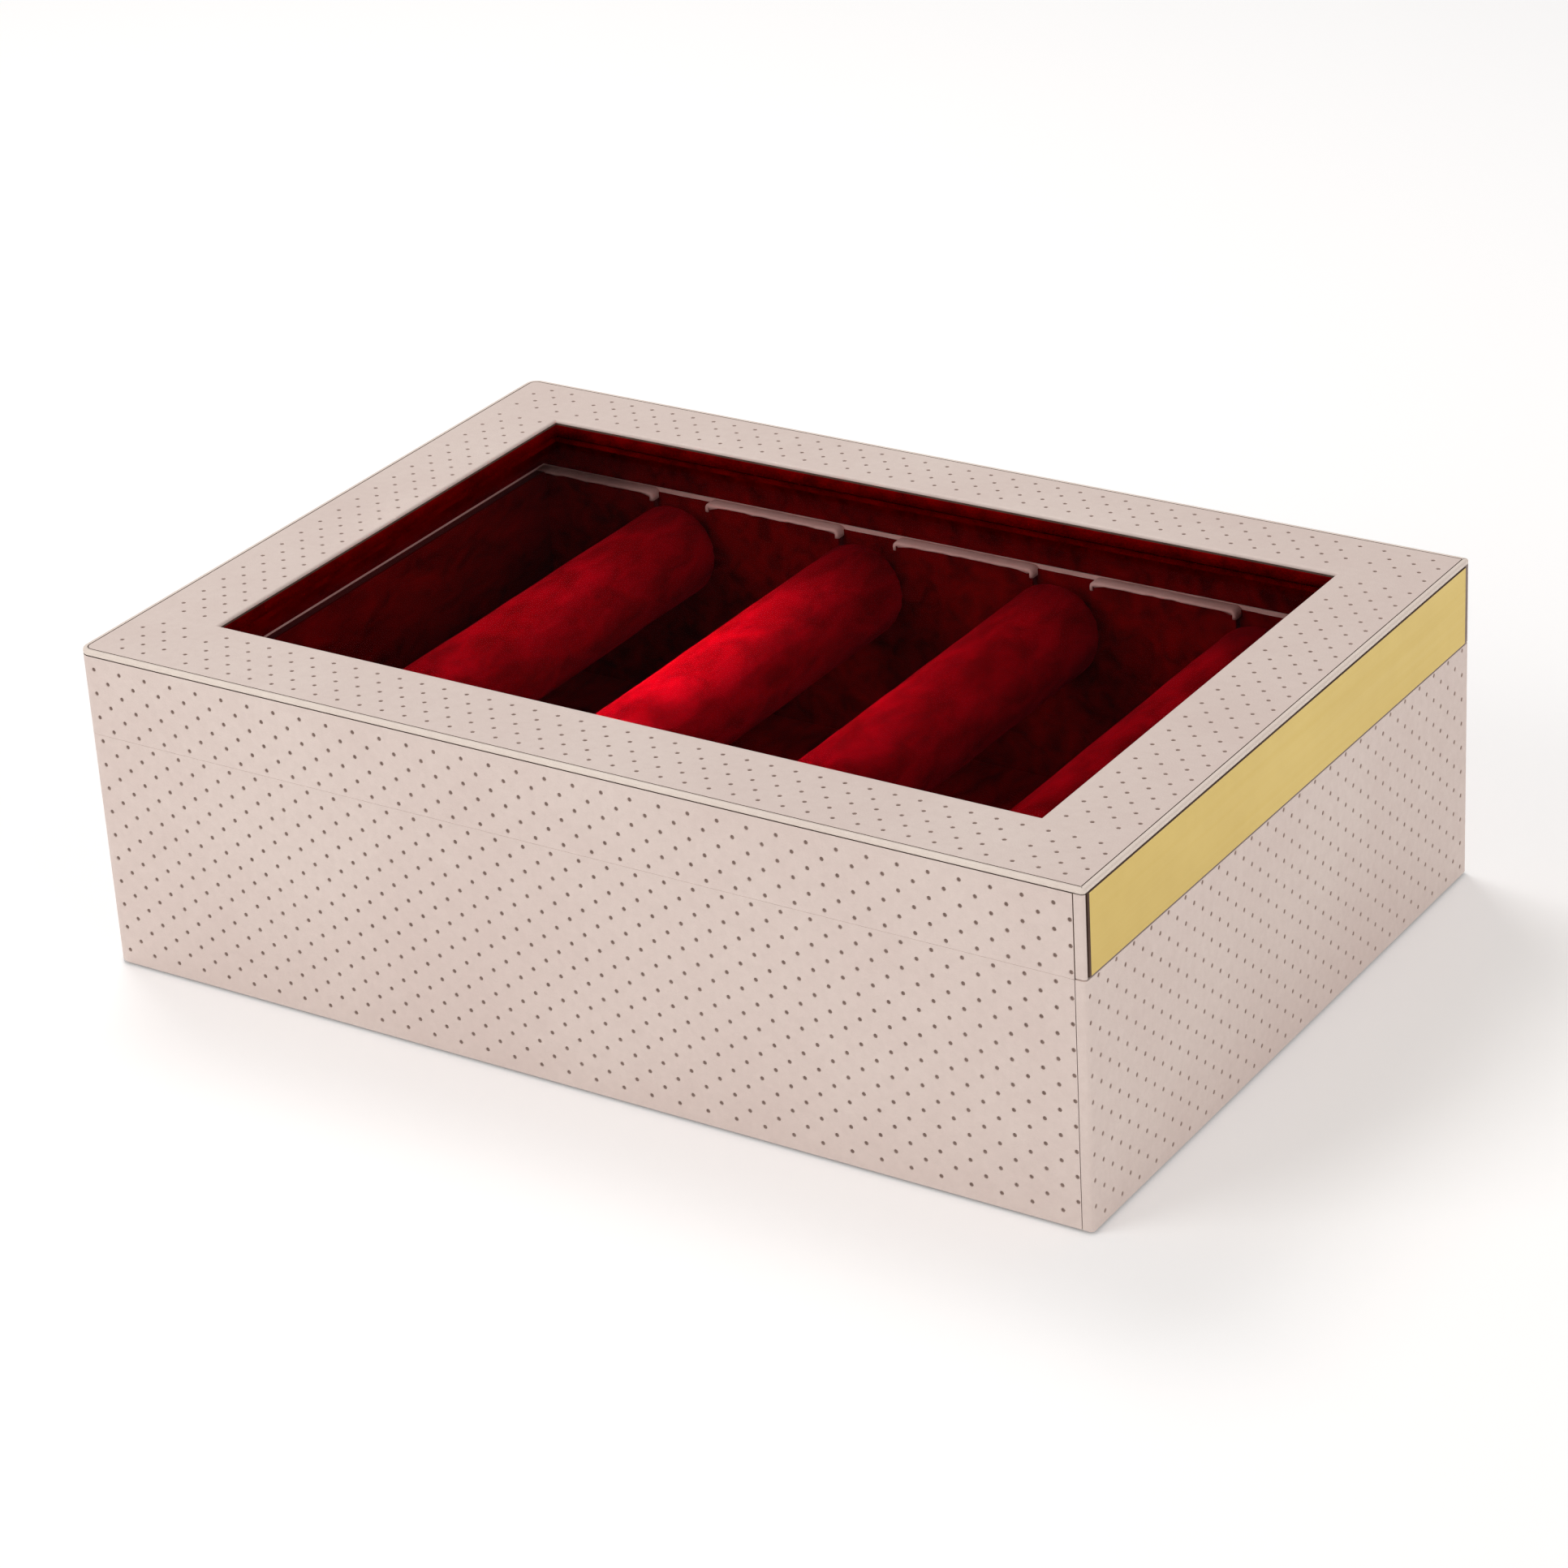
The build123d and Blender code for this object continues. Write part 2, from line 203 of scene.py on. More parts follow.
class Shell:
    """Gathers the vertices and faces of one piece, welding points that meet."""

    def __init__(self) -> None:
        """Starts with no faces."""
        self.points: list[Vector] = []
        self.faces: list[tuple[list[int], int, bool]] = []
        self.found: dict[tuple[int, int, int], int] = {}

    def point(self, place: Iterable[float]) -> int:
        """The vertex at a place, made if there is none yet.

        Args:
            place: Where it is, in millimetres.

        Returns:
            Its index.
        """
        spot = Vector(place)
        key = tuple(round(c * 2000) for c in spot)
        if key not in self.found:
            self.found[key] = len(self.points)
            self.points.append(spot * MM)
        return self.found[key]

    def face(self, places: Iterable[Iterable[float]], material: int = 0, smooth: bool = False) -> None:
        """Adds a face, leaving out corners that fall together.

        Args:
            places: Its corners, in order.
            material: Number of its material.
            smooth: True for smooth shading.
        """
        loop: list[int] = []
        for place in places:
            index = self.point(place)
            if index not in loop:
                loop.append(index)
        if len(loop) > 2:
            self.faces.append((loop, material, smooth))

    def bridge(self, first: Sequence[Vector], second: Sequence[Vector], closed: bool = False,
               material: int = 0, smooth: bool = True) -> None:
        """Joins two rows of equally many points with quads.

        Args:
            first, second: The rows.
            closed: True if each row closes on itself.
            material: Number of the quads' material.
            smooth: True for smooth shading.
        """
        count = len(first)
        for k in range(count if closed else count - 1):
            n = (k + 1) % count
            self.face((first[k], first[n], second[n], second[k]), material, smooth)

    def skin(self, rows: Sequence[Sequence[Vector]], closed: bool = False) -> None:
        """Joins rows one after another, each closed on itself or not."""
        for first, second in zip(rows, rows[1:]):
            self.bridge(first, second, closed)

    def bar(self, rows: Sequence[Sequence[Vector]], closed: bool = False) -> None:
        """Joins rows into a bar whose last row meets its first.

        Args:
            rows: The bar's long edges, in order round its section.
            closed: True if the bar closes on itself, and otherwise its two ends are filled.
        """
        self.skin([*rows, rows[0]], closed)
        if not closed:
            for k in (0, -1):
                self.face([row[k] for row in rows])

    def build(self, name: str, *finishes: "Finish") -> bpy.types.Object:
        """Makes the Blender object.

        Args:
            name: The piece's name.
            *finishes: Its finishes, in the order of the faces' numbers.

        Returns:
            The new object, linked to the scene.
        """
        mesh = bpy.data.meshes.new(name)
        mesh.from_pydata(self.points, [], [loop for loop, _, _ in self.faces])
        for polygon, (_, material, smooth) in zip(mesh.polygons, self.faces):
            polygon.material_index = material
            polygon.use_smooth = smooth
        work = bmesh.new()
        work.from_mesh(mesh)
        bmesh.ops.recalc_face_normals(work, faces=work.faces)
        work.to_mesh(mesh)
        work.free()
        for finish in finishes:
            mesh.materials.append(finish.material())
        piece = bpy.data.objects.new(name, mesh)
        bpy.context.scene.collection.objects.link(piece)
        return piece


def borders(ends: Plan, inner: Iterable[float], extra: Iterable[float], near: float = 0.05) -> list[float]:
    """Tile borders along one direction.

    Args:
        ends: First and last coordinate.
        inner: Borders between holes, left out where they nearly meet another.
        extra: Further borders, kept where they lie between the ends.
        near: Distance at which two borders nearly meet.

    Returns:
        The borders, in order.
    """
    fixed = sorted({*ends, *(e for e in extra if ends[0] < e < ends[1])})
    free = [x for x in inner if all(abs(x - f) > near for f in fixed)]
    return sorted(fixed + free)


def perforate(
    shell: Shell,
    place: Callable[[float, float, float], Vector],
    span_u: Plan,
    span_v: Plan,
    lattice: Lattice,
    breaks_u: Iterable[float] = (),
    breaks_v: Iterable[float] = (),
    bare: Callable[[float, float], bool] = lambda u, v: False,
) -> tuple[list[float], list[float]]:
    """Covers a range of a sheet with tiles, each with its punched hole where the lattice has one.

    Args:
        shell: Takes the faces, with the holes' floors and sides as material 1.
        place: Turns two sheet coordinates and a depth into a place.
        span_u: First and last coordinate along the first direction.
        span_v: First and last coordinate along the second direction.
        lattice: Where the holes are.
        breaks_u: Further tile borders along the first direction.
        breaks_v: Further tile borders along the second direction.
        bare: True for the centre of a tile that is left out.

    Returns:
        The coordinates of the border points along each direction.
    """
    us = borders(span_u, lattice.lines(*span_u, lattice.start_u, lattice.step_u), breaks_u)
    vs = borders(span_v, lattice.lines(*span_v, lattice.start_v, lattice.step_v), breaks_v)
    for u0, u1 in zip(us, us[1:]):
        for v0, v1 in zip(vs, vs[1:]):
            um, vm = (u0 + u1) / 2, (v0 + v1) / 2
            if bare(um, vm):
                continue
            rim = [(u0, v0), (um, v0), (u1, v0), (u1, vm), (u1, v1), (um, v1), (u0, v1), (u0, vm)]
            edge = [place(u, v, 0) for u, v in rim]
            hole = lattice.hole(u0, u1, v0, v1)
            if hole is None:
                middle = place(um, vm, 0)
                for k in range(0, 8, 2):
                    shell.face((edge[k], edge[k + 1], middle, edge[k - 1]))
                continue
            rings = []
            for radius, depth in lattice.rings():
                angles = (math.radians(45 * k - 135) for k in range(8))
                spots = ((hole[0] + radius * math.cos(a), hole[1] + radius * math.sin(a)) for a in angles)
                rings.append([place(u, v, depth) for u, v in spots])
            shell.bridge(edge, rings[0], closed=True, smooth=False)
            shell.bridge(rings[0], rings[1], closed=True)
            shell.bridge(rings[1], rings[2], closed=True, material=1)
            shell.face(rings[2], 1)
    return with_middles(us), with_middles(vs)


def with_middles(values: Sequence[float]) -> list[float]:
    """The values with the half-way points between them."""
    return sorted([*values, *((a + b) / 2 for a, b in zip(values, values[1:]))])


def turns(steps: int, whole: float = math.pi / 2) -> list[float]:
    """Angles from nought to a quarter turn, or to another angle, in equal steps."""
    return [whole * k / steps for k in range(steps + 1)]


def quarter(
    inset: float, level: float, radius: float, sign_inset: int, sign_level: int, steps: int = 4
) -> list[Plan]:
    """Quarter round in a profile, from its side to its top.

    Args:
        inset, level: The centre of the round.
        radius: Its radius.
        sign_inset: Direction from the centre to the side, -1 or 1.
        sign_level: Direction from the centre to the top, -1 or 1.
        steps: Straight parts in the round.

    Returns:
        Points from the side to the top.
    """
    return [
        (inset + sign_inset * radius * math.cos(a), level + sign_level * radius * math.sin(a))
        for a in turns(steps)
    ]


def frame_rows(window: Range, profile: Iterable[Plan], parts: int) -> list[list[Vector]]:
    """Rows of points that carry a profile round a rectangle.

    Args:
        window: The rectangle in plan.
        profile: Insets towards the middle, and levels.
        parts: Points on each side.

    Returns:
        One row for each point of the profile.
    """
    x0, x1, y0, y1 = window
    rows = []
    for inset, level in profile:
        left, right, front, rear = x0 + inset, x1 - inset, y0 + inset, y1 - inset
        corners = ((left, front), (right, front), (right, rear), (left, rear))
        row: list[Vector] = []
        for (ax, ay), (bx, by) in zip(corners, (*corners[1:], corners[0])):
            row += [
                Vector((ax + (bx - ax) * k / parts, ay + (by - ay) * k / parts, level))
                for k in range(parts)
            ]
        rows.append(row)
    return rows


@dataclass
class CoverPath:
    """Line that a cover follows round the box in plan, and how it is drawn in.

    Args:
        corners: Plan points of the line, in order.
        radii: Corner radius at each inner point.
        mitre: X at the outside and per millimetre of inset where the line's ends are cut.
        wraps_plate_end: True if the line goes round the plate end, and not round the hinge end.
        arc_steps: Straight parts in each corner.
        stations: Distance, place and outward direction of each point of the line, worked out.
    """

    corners: Sequence[Plan]
    radii: Sequence[float]
    mitre: Plan
    wraps_plate_end: bool = False
    arc_steps: int = 8
    stations: list[tuple[float, Vector, Vector]] = field(default_factory=list)

    def __post_init__(self) -> None:
        """Works out the distance, place and outward direction of each station."""
        ends = [Vector(c) for c in self.corners]
        travelled = 0.0
        start = ends[0]
        for k in range(1, len(ends)):
            way = (ends[k] - ends[k - 1]).normalized()
            out = Vector((way.y, -way.x))
            radius = self.radii[k - 1] if k < len(ends) - 1 else 0.0
            stop = ends[k] - way * radius
            self.stations.append((travelled, start, out))
            travelled += (stop - start).length
            self.stations.append((travelled, stop, out))
            if k == len(ends) - 1:
                break
            turn = (ends[k + 1] - ends[k]).normalized()
            centre = stop + turn * radius
            for step in range(1, self.arc_steps + 1):
                angle = math.pi / 2 * step / self.arc_steps
                out = (stop - centre).normalized() * math.cos(angle) + way * math.sin(angle)
                travelled += radius * math.pi / 2 / self.arc_steps
                self.stations.append((travelled, centre + out * radius, out))
            start = centre + way * radius
        self.stations = [(d, spot, out if out.dot(spot) > 0 else -out) for d, spot, out in self.stations]

    @property
    def length(self) -> float:
        """Distance from one end of the line to the other."""
        return self.stations[-1][0]

    def breaks(self) -> list[float]:
        """Distances at which the line starts, bends or ends."""
        return [distance for distance, _, _ in self.stations]

    def place(self, distance: float, level: float, inset: float) -> Vector:
        """A point of the cover.

        Args:
            distance: How far along the line.
            level: Its height.
            inset: How far it is drawn in from the outside.

        Returns:
            The point.
        """
        for (d0, p0, n0), (d1, p1, n1) in zip(self.stations, self.stations[1:]):
            if distance <= d1 + 1e-6 and d1 > d0:
                break
        share = (distance - d0) / (d1 - d0)
        spot = p0.lerp(p1, share) - n0.lerp(n1, share).normalized() * inset
        low, high = -(HALF_X - inset), HALF_X - inset
        cut = self.mitre[0] - self.mitre[1] * inset
        if self.wraps_plate_end:
            low = cut
        else:
            high = cut
        x = min(max(spot.x, low), max(low, high))
        y = min(max(spot.y, inset - HALF_Y), HALF_Y - inset)
        return Vector((x, y, level))


def sweep(shell: Shell, path: CoverPath, distances: Sequence[float], profile: Sequence[Plan]) -> None:
    """Carries a profile of insets and heights along a path.

    Args:
        shell: Takes the faces: the raw edge, last in the profile, as material 2, the inside as material 3.
        path: The line to follow.
        distances: Where its rows stand.
        profile: Insets and heights, from the outer face round to the raw edge.
    """
    inside = SKIN + BOARD
    rows = [[path.place(d, level, inset) for d in distances] for inset, level in profile]
    for k, (first, second) in enumerate(zip(rows, rows[1:]), 1):
        inner = profile[k][0] > inside and profile[k - 1][0] > inside
        shell.bridge(first, second, material=2 if k == len(rows) - 1 else 3 if inner else 0)


# Nodes and finishes


class Graph:
    """Places and joins the nodes of one tree."""

    def __init__(self, tree: bpy.types.NodeTree) -> None:
        """Works on a tree."""
        self.tree = tree

    def add(
        self, kind: str, inputs: dict[str | int, Value] | None = None, **settings: object
    ) -> bpy.types.Node:
        """Adds a node.

        Args:
            kind: Blender's name of the node.
            inputs: Values or sockets for its inputs, by name or number.
            **settings: Properties of the node.

        Returns:
            The node.
        """
        node = self.tree.nodes.new(kind)
        for key, value in settings.items():
            setattr(node, key, value)
        for key, value in (inputs or {}).items():
            if isinstance(value, bpy.types.NodeSocket):
                self.tree.links.new(value, node.inputs[key])
            else:
                node.inputs[key].default_value = value
        return node

    def math(self, operation: str, first: Value, second: Value = 0.0) -> Socket:
        """Result of a math node."""
        return self.add("ShaderNodeMath", {0: first, 1: second}, operation=operation).outputs[0]

    def ranged(
        self, value: Value, low: Value, high: Value, to_low: float = 0.0, to_high: float = 1.0
    ) -> Socket:
        """A value carried from one range to another, held at its ends."""
        inputs = {"Value": value, "From Min": low, "From Max": high, "To Min": to_low, "To Max": to_high}
        return self.add("ShaderNodeMapRange", inputs, clamp=True).outputs["Result"]

    def mix(self, factor: Value, first: Value, second: Value) -> Socket:
        """Colour between two colours."""
        inputs = {"Factor": factor, 6: first, 7: second}
        return self.add("ShaderNodeMix", inputs, data_type="RGBA").outputs[2]

    def spot(self) -> Socket:
        """Place on the object, in metres."""
        return self.add("ShaderNodeTexCoord").outputs["Object"]

    def noise(self, place: Value, scale: Value, detail: float, **more: float) -> Socket:
        """Value of a noise texture."""
        inputs = {"Vector": place, "Scale": scale, "Detail": detail, **more}
        return self.add("ShaderNodeTexNoise", inputs).outputs["Fac"]

    def stretched(self, scale: Triple) -> Socket:
        """Place on the object, scaled by direction."""
        return self.add("ShaderNodeMapping", {"Vector": self.spot(), "Scale": scale}).outputs[0]

    def blend(self, first: Value, share: float, second: Value) -> Socket:
        """A share of one value with the rest of another."""
        return self.math("ADD", self.math("MULTIPLY", first, share), self.math("MULTIPLY", second, 1 - share))

    def group(self, effect: "Effect", inputs: dict[str, Value]) -> bpy.types.Node:
        """Places a shared effect."""
        return self.add("ShaderNodeGroup", inputs, node_tree=effect.tree())


class Effect:
    """A node group that several finishes use, built once."""

    name = "effect"
    inputs: tuple[tuple[str, str, Value], ...] = ()
    outputs: tuple[tuple[str, str], ...] = ()

    def tree(self) -> bpy.types.NodeTree:
        """The group, made the first time it is asked for.

        Returns:
            The node tree.
        """
        found = bpy.data.node_groups.get(self.name)
        if found:
            return found
        tree = bpy.data.node_groups.new(self.name, "ShaderNodeTree")
        for label, kind, value in self.inputs:
            tree.interface.new_socket(label, in_out="INPUT", socket_type=kind).default_value = value
        for label, kind in self.outputs:
            tree.interface.new_socket(label, in_out="OUTPUT", socket_type=kind)
        graph = Graph(tree)
        given = graph.add("NodeGroupInput").outputs
        leave = graph.add("NodeGroupOutput")
        for label, result in self.results(graph, given).items():
            tree.links.new(result, leave.inputs[label])
        return tree

    def results(self, graph: Graph, given: bpy.types.NodeOutputs) -> dict[str, Socket]:
        """What the group puts out, by the output's name."""
        raise NotImplementedError


class LeatherGrain(Effect):
    """Pebbled grain of leatherette with soft creases."""

    name = "leather_grain"
    inputs = (("Pebble", "NodeSocketFloat", 1300.0), ("Crease", "NodeSocketFloat", 420.0))
    outputs = (("Height", "NodeSocketFloat"), ("Tone", "NodeSocketFloat"))

    def results(self, graph: Graph, given: bpy.types.NodeOutputs) -> dict[str, Socket]:
        """Cells give the pebbles, stretched noise the creases.

        Args:
            graph: The group's nodes.
            given: The group's inputs.

        Returns:
            Each output's socket.
        """
        spot = graph.spot()
        warp = graph.add("ShaderNodeTexNoise", {"Vector": spot, "Scale": given["Crease"], "Detail": 3.0})
        inputs = {0: warp.outputs["Color"], "Scale": 0.0009}
        shift = graph.add("ShaderNodeVectorMath", inputs, operation="SCALE").outputs[0]
        bent = graph.add("ShaderNodeVectorMath", {0: spot, 1: shift}, operation="ADD").outputs[0]
        inputs = {"Vector": bent, "Scale": given["Pebble"]}
        cells = graph.add("ShaderNodeTexVoronoi", inputs, feature="DISTANCE_TO_EDGE")
        pebble = graph.ranged(cells.outputs["Distance"], 0.0, 0.32)
        crease = graph.noise(bent, given["Crease"], 5.0, Roughness=0.6)
        height = graph.math("ADD", graph.math("MULTIPLY", pebble, 0.6), crease)
        return {"Height": height, "Tone": graph.ranged(crease, 0.35, 0.65)}


class Clouding(Effect):
    """Slow change of tone over a surface, such as uneven dye or handling."""

    name = "clouding"
    inputs = (("Scale", "NodeSocketFloat", 14.0), ("Spread", "NodeSocketFloat", 0.18))
    outputs = (("Tone", "NodeSocketFloat"),)

    def results(self, graph: Graph, given: bpy.types.NodeOutputs) -> dict[str, Socket]:
        """Two sizes of noise round the middle tone.

        Args:
            graph: The group's nodes.
            given: The group's inputs.

        Returns:
            Each output's socket.
        """
        spot = graph.spot()
        wide = graph.noise(spot, given["Scale"], 2.0)
        fine = graph.noise(spot, graph.math("MULTIPLY", given["Scale"], 7.0), 3.0)
        low = graph.math("SUBTRACT", 0.5, given["Spread"])
        high = graph.math("ADD", 0.5, given["Spread"])
        return {"Tone": graph.ranged(graph.blend(wide, 0.7, fine), low, high)}


class Nap(Effect):
    """Pile of velvet: fine tufts, and patches where it lies another way."""

    name = "velvet_nap"
    inputs = (("Tuft", "NodeSocketFloat", 2600.0), ("Patch", "NodeSocketFloat", 90.0))
    outputs = (("Height", "NodeSocketFloat"), ("Tone", "NodeSocketFloat"))

    def results(self, graph: Graph, given: bpy.types.NodeOutputs) -> dict[str, Socket]:
        """Fine noise gives the tufts, stretched noise the brushed patches.

        Args:
            graph: The group's nodes.
            given: The group's inputs.

        Returns:
            Each output's socket.
        """
        tuft = graph.noise(graph.spot(), given["Tuft"], 2.0)
        patch = graph.noise(
            graph.stretched((1.0, 0.45, 1.0)), given["Patch"], 4.0, Roughness=0.62, Distortion=0.4
        )
        height = graph.math("ADD", tuft, graph.math("MULTIPLY", patch, 0.8))
        return {"Height": height, "Tone": graph.ranged(graph.blend(patch, 0.75, tuft), 0.36, 0.64)}


def full(colour: Colour) -> tuple[float, float, float, float]:
    """A colour with full alpha."""
    return (*colour, 1.0)


@dataclass(frozen=True)
class Finish:
    """What every finish has: a name, and a material built once."""

    name: str

    def material(self) -> bpy.types.Material:
        """The material, made the first time it is asked for.

        Returns:
            The material.
        """
        found = bpy.data.materials.get(self.name)
        if found:
            return found
        made = bpy.data.materials.new(self.name)
        made.use_nodes = True
        made.node_tree.nodes.clear()
        graph = Graph(made.node_tree)
        graph.add("ShaderNodeOutputMaterial", {"Surface": self.shade(graph)})
        return made

    def shade(self, graph: Graph) -> Socket:
        """Builds the nodes and gives the shader's output."""
        raise NotImplementedError

    def bump(self, graph: Graph, height: Value, strength: float, distance: float) -> Socket:
        """Normal from a height."""
        inputs = {"Height": height, "Strength": strength, "Distance": distance}
        return graph.add("ShaderNodeBump", inputs).outputs["Normal"]


@dataclass(frozen=True)
class Leatherette(Finish):
    """Coated cloth with a pebbled grain."""

    light: Colour
    dark: Colour
    grain: float = 0.32

    def shade(self, graph: Graph) -> Socket:
        """Clouded dye over the grain, with painted shade darkening its hollows, and glossier on its pebbles.

        Args:
            graph: The material's nodes.

        Returns:
            The shader's output.
        """
        grain = graph.group(LeatherGrain(), {"Pebble": 1300.0, "Crease": 420.0})
        cloud = graph.group(Clouding(), {"Scale": 16.0, "Spread": 0.16})
        base = graph.mix(cloud.outputs["Tone"], full(self.dark), full(self.light))
        # Painted shade: the grain's hollows are darkened towards a deeper tone.
        valley_shade = tuple(c * 0.86 for c in self.dark)
        colour = graph.mix(graph.ranged(grain.outputs["Tone"], 0.0, 1.0, 0.22, 0.0), base, full(valley_shade))
        rough = graph.ranged(grain.outputs["Tone"], 0.0, 1.0, 0.62, 0.48)
        normal = self.bump(graph, grain.outputs["Height"], self.grain, 0.00012)
        inputs = {"Base Color": colour, "Roughness": rough, "Normal": normal, "Specular IOR Level": 0.35}
        return graph.add("ShaderNodeBsdfPrincipled", inputs).outputs[0]


@dataclass(frozen=True)
class Velvet(Finish):
    """Short pile that pales where it is seen along the surface."""

    light: Colour
    dark: Colour
    glow: Colour
    sheen: float

    def shade(self, graph: Graph) -> Socket:
        """Patches of pile between a deep and a bright red.

        Args:
            graph: The material's nodes.

        Returns:
            The shader's output.
        """
        nap = graph.group(Nap(), {"Tuft": 2200.0, "Patch": 150.0})
        colour = graph.mix(nap.outputs["Tone"], full(self.dark), full(self.light))
        normal = self.bump(graph, nap.outputs["Height"], 0.7, 0.0004)
        inputs = {"Base Color": colour, "Roughness": 1.0, "Normal": normal, "Specular IOR Level": 0.0,
                  "Sheen Weight": self.sheen, "Sheen Roughness": 0.42, "Sheen Tint": full(self.glow)}
        return graph.add("ShaderNodeBsdfPrincipled", inputs).outputs[0]


@dataclass(frozen=True)
class SheetMetal(Finish):
    """Satin metal with faint rolling lines and handling marks."""

    light: Colour
    dark: Colour
    roughness: float = 0.36
    along: Triple = (900.0, 12.0, 900.0)

    def shade(self, graph: Graph) -> Socket:
        """Fine lines in one direction, and clouds of tarnish.

        Args:
            graph: The material's nodes.

        Returns:
            The shader's output.
        """
        line = graph.noise(graph.stretched(self.along), 1.0, 3.0)
        cloud = graph.group(Clouding(), {"Scale": 22.0, "Spread": 0.2})
        tone = graph.blend(cloud.outputs["Tone"], 0.7, line)
        colour = graph.mix(tone, full(self.dark), full(self.light))
        rough = graph.ranged(line, 0.3, 0.7, self.roughness - 0.05, self.roughness + 0.06)
        normal = self.bump(graph, line, 0.06, 0.0001)
        inputs = {"Base Color": colour, "Metallic": 1.0, "Roughness": rough, "Normal": normal}
        return graph.add("ShaderNodeBsdfPrincipled", inputs).outputs[0]


@dataclass(frozen=True)
class Board(Finish):
    """Pressed fibre board, card or paper."""

    light: Colour
    dark: Colour
    fleck: float = 1500.0

    def shade(self, graph: Graph) -> Socket:
        """Short fibres and flecks.

        Args:
            graph: The material's nodes.

        Returns:
            The shader's output.
        """
        fleck = graph.noise(graph.spot(), self.fleck, 4.0, Roughness=0.7)
        cloud = graph.group(Clouding(), {"Scale": 40.0, "Spread": 0.2})
        tone = graph.blend(cloud.outputs["Tone"], 0.5, fleck)
        colour = graph.mix(graph.ranged(tone, 0.25, 0.75), full(self.dark), full(self.light))
        normal = self.bump(graph, fleck, 0.3, 0.0002)
        inputs = {"Base Color": colour, "Roughness": 0.88, "Normal": normal, "Specular IOR Level": 0.2}
        return graph.add("ShaderNodeBsdfPrincipled", inputs).outputs[0]


@dataclass(frozen=True)
class Softwood(Finish):
    """Turned softwood with its grain along Y."""

    light: Colour
    dark: Colour

    def shade(self, graph: Graph) -> Socket:
        """Stretched bands of early and late wood.

        Args:
            graph: The material's nodes.

        Returns:
            The shader's output.
        """
        band = graph.noise(graph.stretched((420.0, 18.0, 420.0)), 1.0, 5.0, Distortion=0.8)
        colour = graph.mix(graph.ranged(band, 0.35, 0.65), full(self.dark), full(self.light))
        normal = self.bump(graph, band, 0.25, 0.0002)
        inputs = {"Base Color": colour, "Roughness": 0.7, "Normal": normal}
        return graph.add("ShaderNodeBsdfPrincipled", inputs).outputs[0]


@dataclass(frozen=True)
class ClearPane(Finish):
    """Clear sheet that lets lamps through and mirrors a little at low angles."""

    tint: Colour
    gloss: float = 0.03

    def shade(self, graph: Graph) -> Socket:
        """Transparent, with gloss by Fresnel and a few smears in it.

        Args:
            graph: The material's nodes.

        Returns:
            The shader's output.
        """
        smear = graph.group(Clouding(), {"Scale": 30.0, "Spread": 0.12})
        rough = graph.ranged(smear.outputs["Tone"], 0.0, 1.0, 0.03, 0.09)
        clear = graph.add("ShaderNodeBsdfTransparent", {"Color": full(self.tint)})
        shine = graph.add("ShaderNodeBsdfGlossy", {"Color": (1.0, 1.0, 1.0, 1.0), "Roughness": rough})
        edge = graph.add("ShaderNodeFresnel", {"IOR": 1.42})
        outside = graph.math("SUBTRACT", 1.0, graph.add("ShaderNodeNewGeometry").outputs["Backfacing"])
        share = graph.math("MULTIPLY", graph.math("MULTIPLY", edge.outputs[0], self.gloss), outside)
        inputs = {0: share, 1: clear.outputs[0], 2: shine.outputs[0]}
        return graph.add("ShaderNodeMixShader", inputs).outputs[0]


@dataclass(frozen=True)
class StudioPaper(Finish):
    """Seamless pale paper, lit a little from behind."""

    colour: Colour
    lift: float

    def shade(self, graph: Graph) -> Socket:
        """Matt paper with hardly any cloud in it.

        Args:
            graph: The material's nodes.

        Returns:
            The shader's output.
        """
        cloud = graph.group(Clouding(), {"Scale": 3.0, "Spread": 0.3})
        dimmer = tuple(c * 0.995 for c in self.colour)
        colour = graph.mix(cloud.outputs["Tone"], full(dimmer), full(self.colour))
        inputs = {"Base Color": colour, "Roughness": 0.95, "Emission Color": full(self.colour),
                  "Emission Strength": self.lift}
        return graph.add("ShaderNodeBsdfPrincipled", inputs).outputs[0]


LEATHERETTE = Leatherette("cream_leatherette", (0.735, 0.620, 0.565), (0.690, 0.565, 0.515))
# Painted highlight: a paler tone for the top's rounded edge band, where the edge catches the light.
EDGE_HIGHLIGHT = Leatherette("painted_edge_highlight", (0.800, 0.700, 0.620), (0.760, 0.650, 0.580), 0.2)
# Painted red bounce: leatherette of the outer cover's tone, made pink by the velvet's red light painted in.
BINDING_RED_BOUNCE = Leatherette("binding_painted_red_bounce", (0.840, 0.480, 0.440), (0.660, 0.340, 0.310), 0.5)
HOLE = Board("hole_shade", (0.430, 0.330, 0.290), (0.340, 0.250, 0.215))
# Painted shade: near-black colour for thin shadow lines in the top's crease and groove, the window's reveal,
# the covers' raw edges and round the plate.
PAINTED_SHADE = Board("painted_shade", (0.130, 0.080, 0.060), (0.090, 0.052, 0.040))
LINING = Velvet(
    "deep_red_velvet", (0.200, 0.0004, 0.0008), (0.070, 0.0002, 0.0004), (0.80, 0.003, 0.01), 0.06
)
CRIMSON = Velvet(
    "crimson_velvet", (0.310, 0.0004, 0.004), (0.125, 0.0002, 0.001), (1.00, 0.004, 0.04), 0.10
)
GOLD = SheetMetal("satin_gold", (0.770, 0.590, 0.200), (0.690, 0.510, 0.160), 0.42)
BRASS = SheetMetal("satin_brass", (0.760, 0.560, 0.250), (0.600, 0.420, 0.170), 0.30, (700.0, 700.0, 40.0))
STEEL = SheetMetal("nickel", (0.620, 0.620, 0.640), (0.480, 0.480, 0.500), 0.25)
BACKING = Board("dark_board", (0.070, 0.035, 0.020), (0.035, 0.018, 0.010))
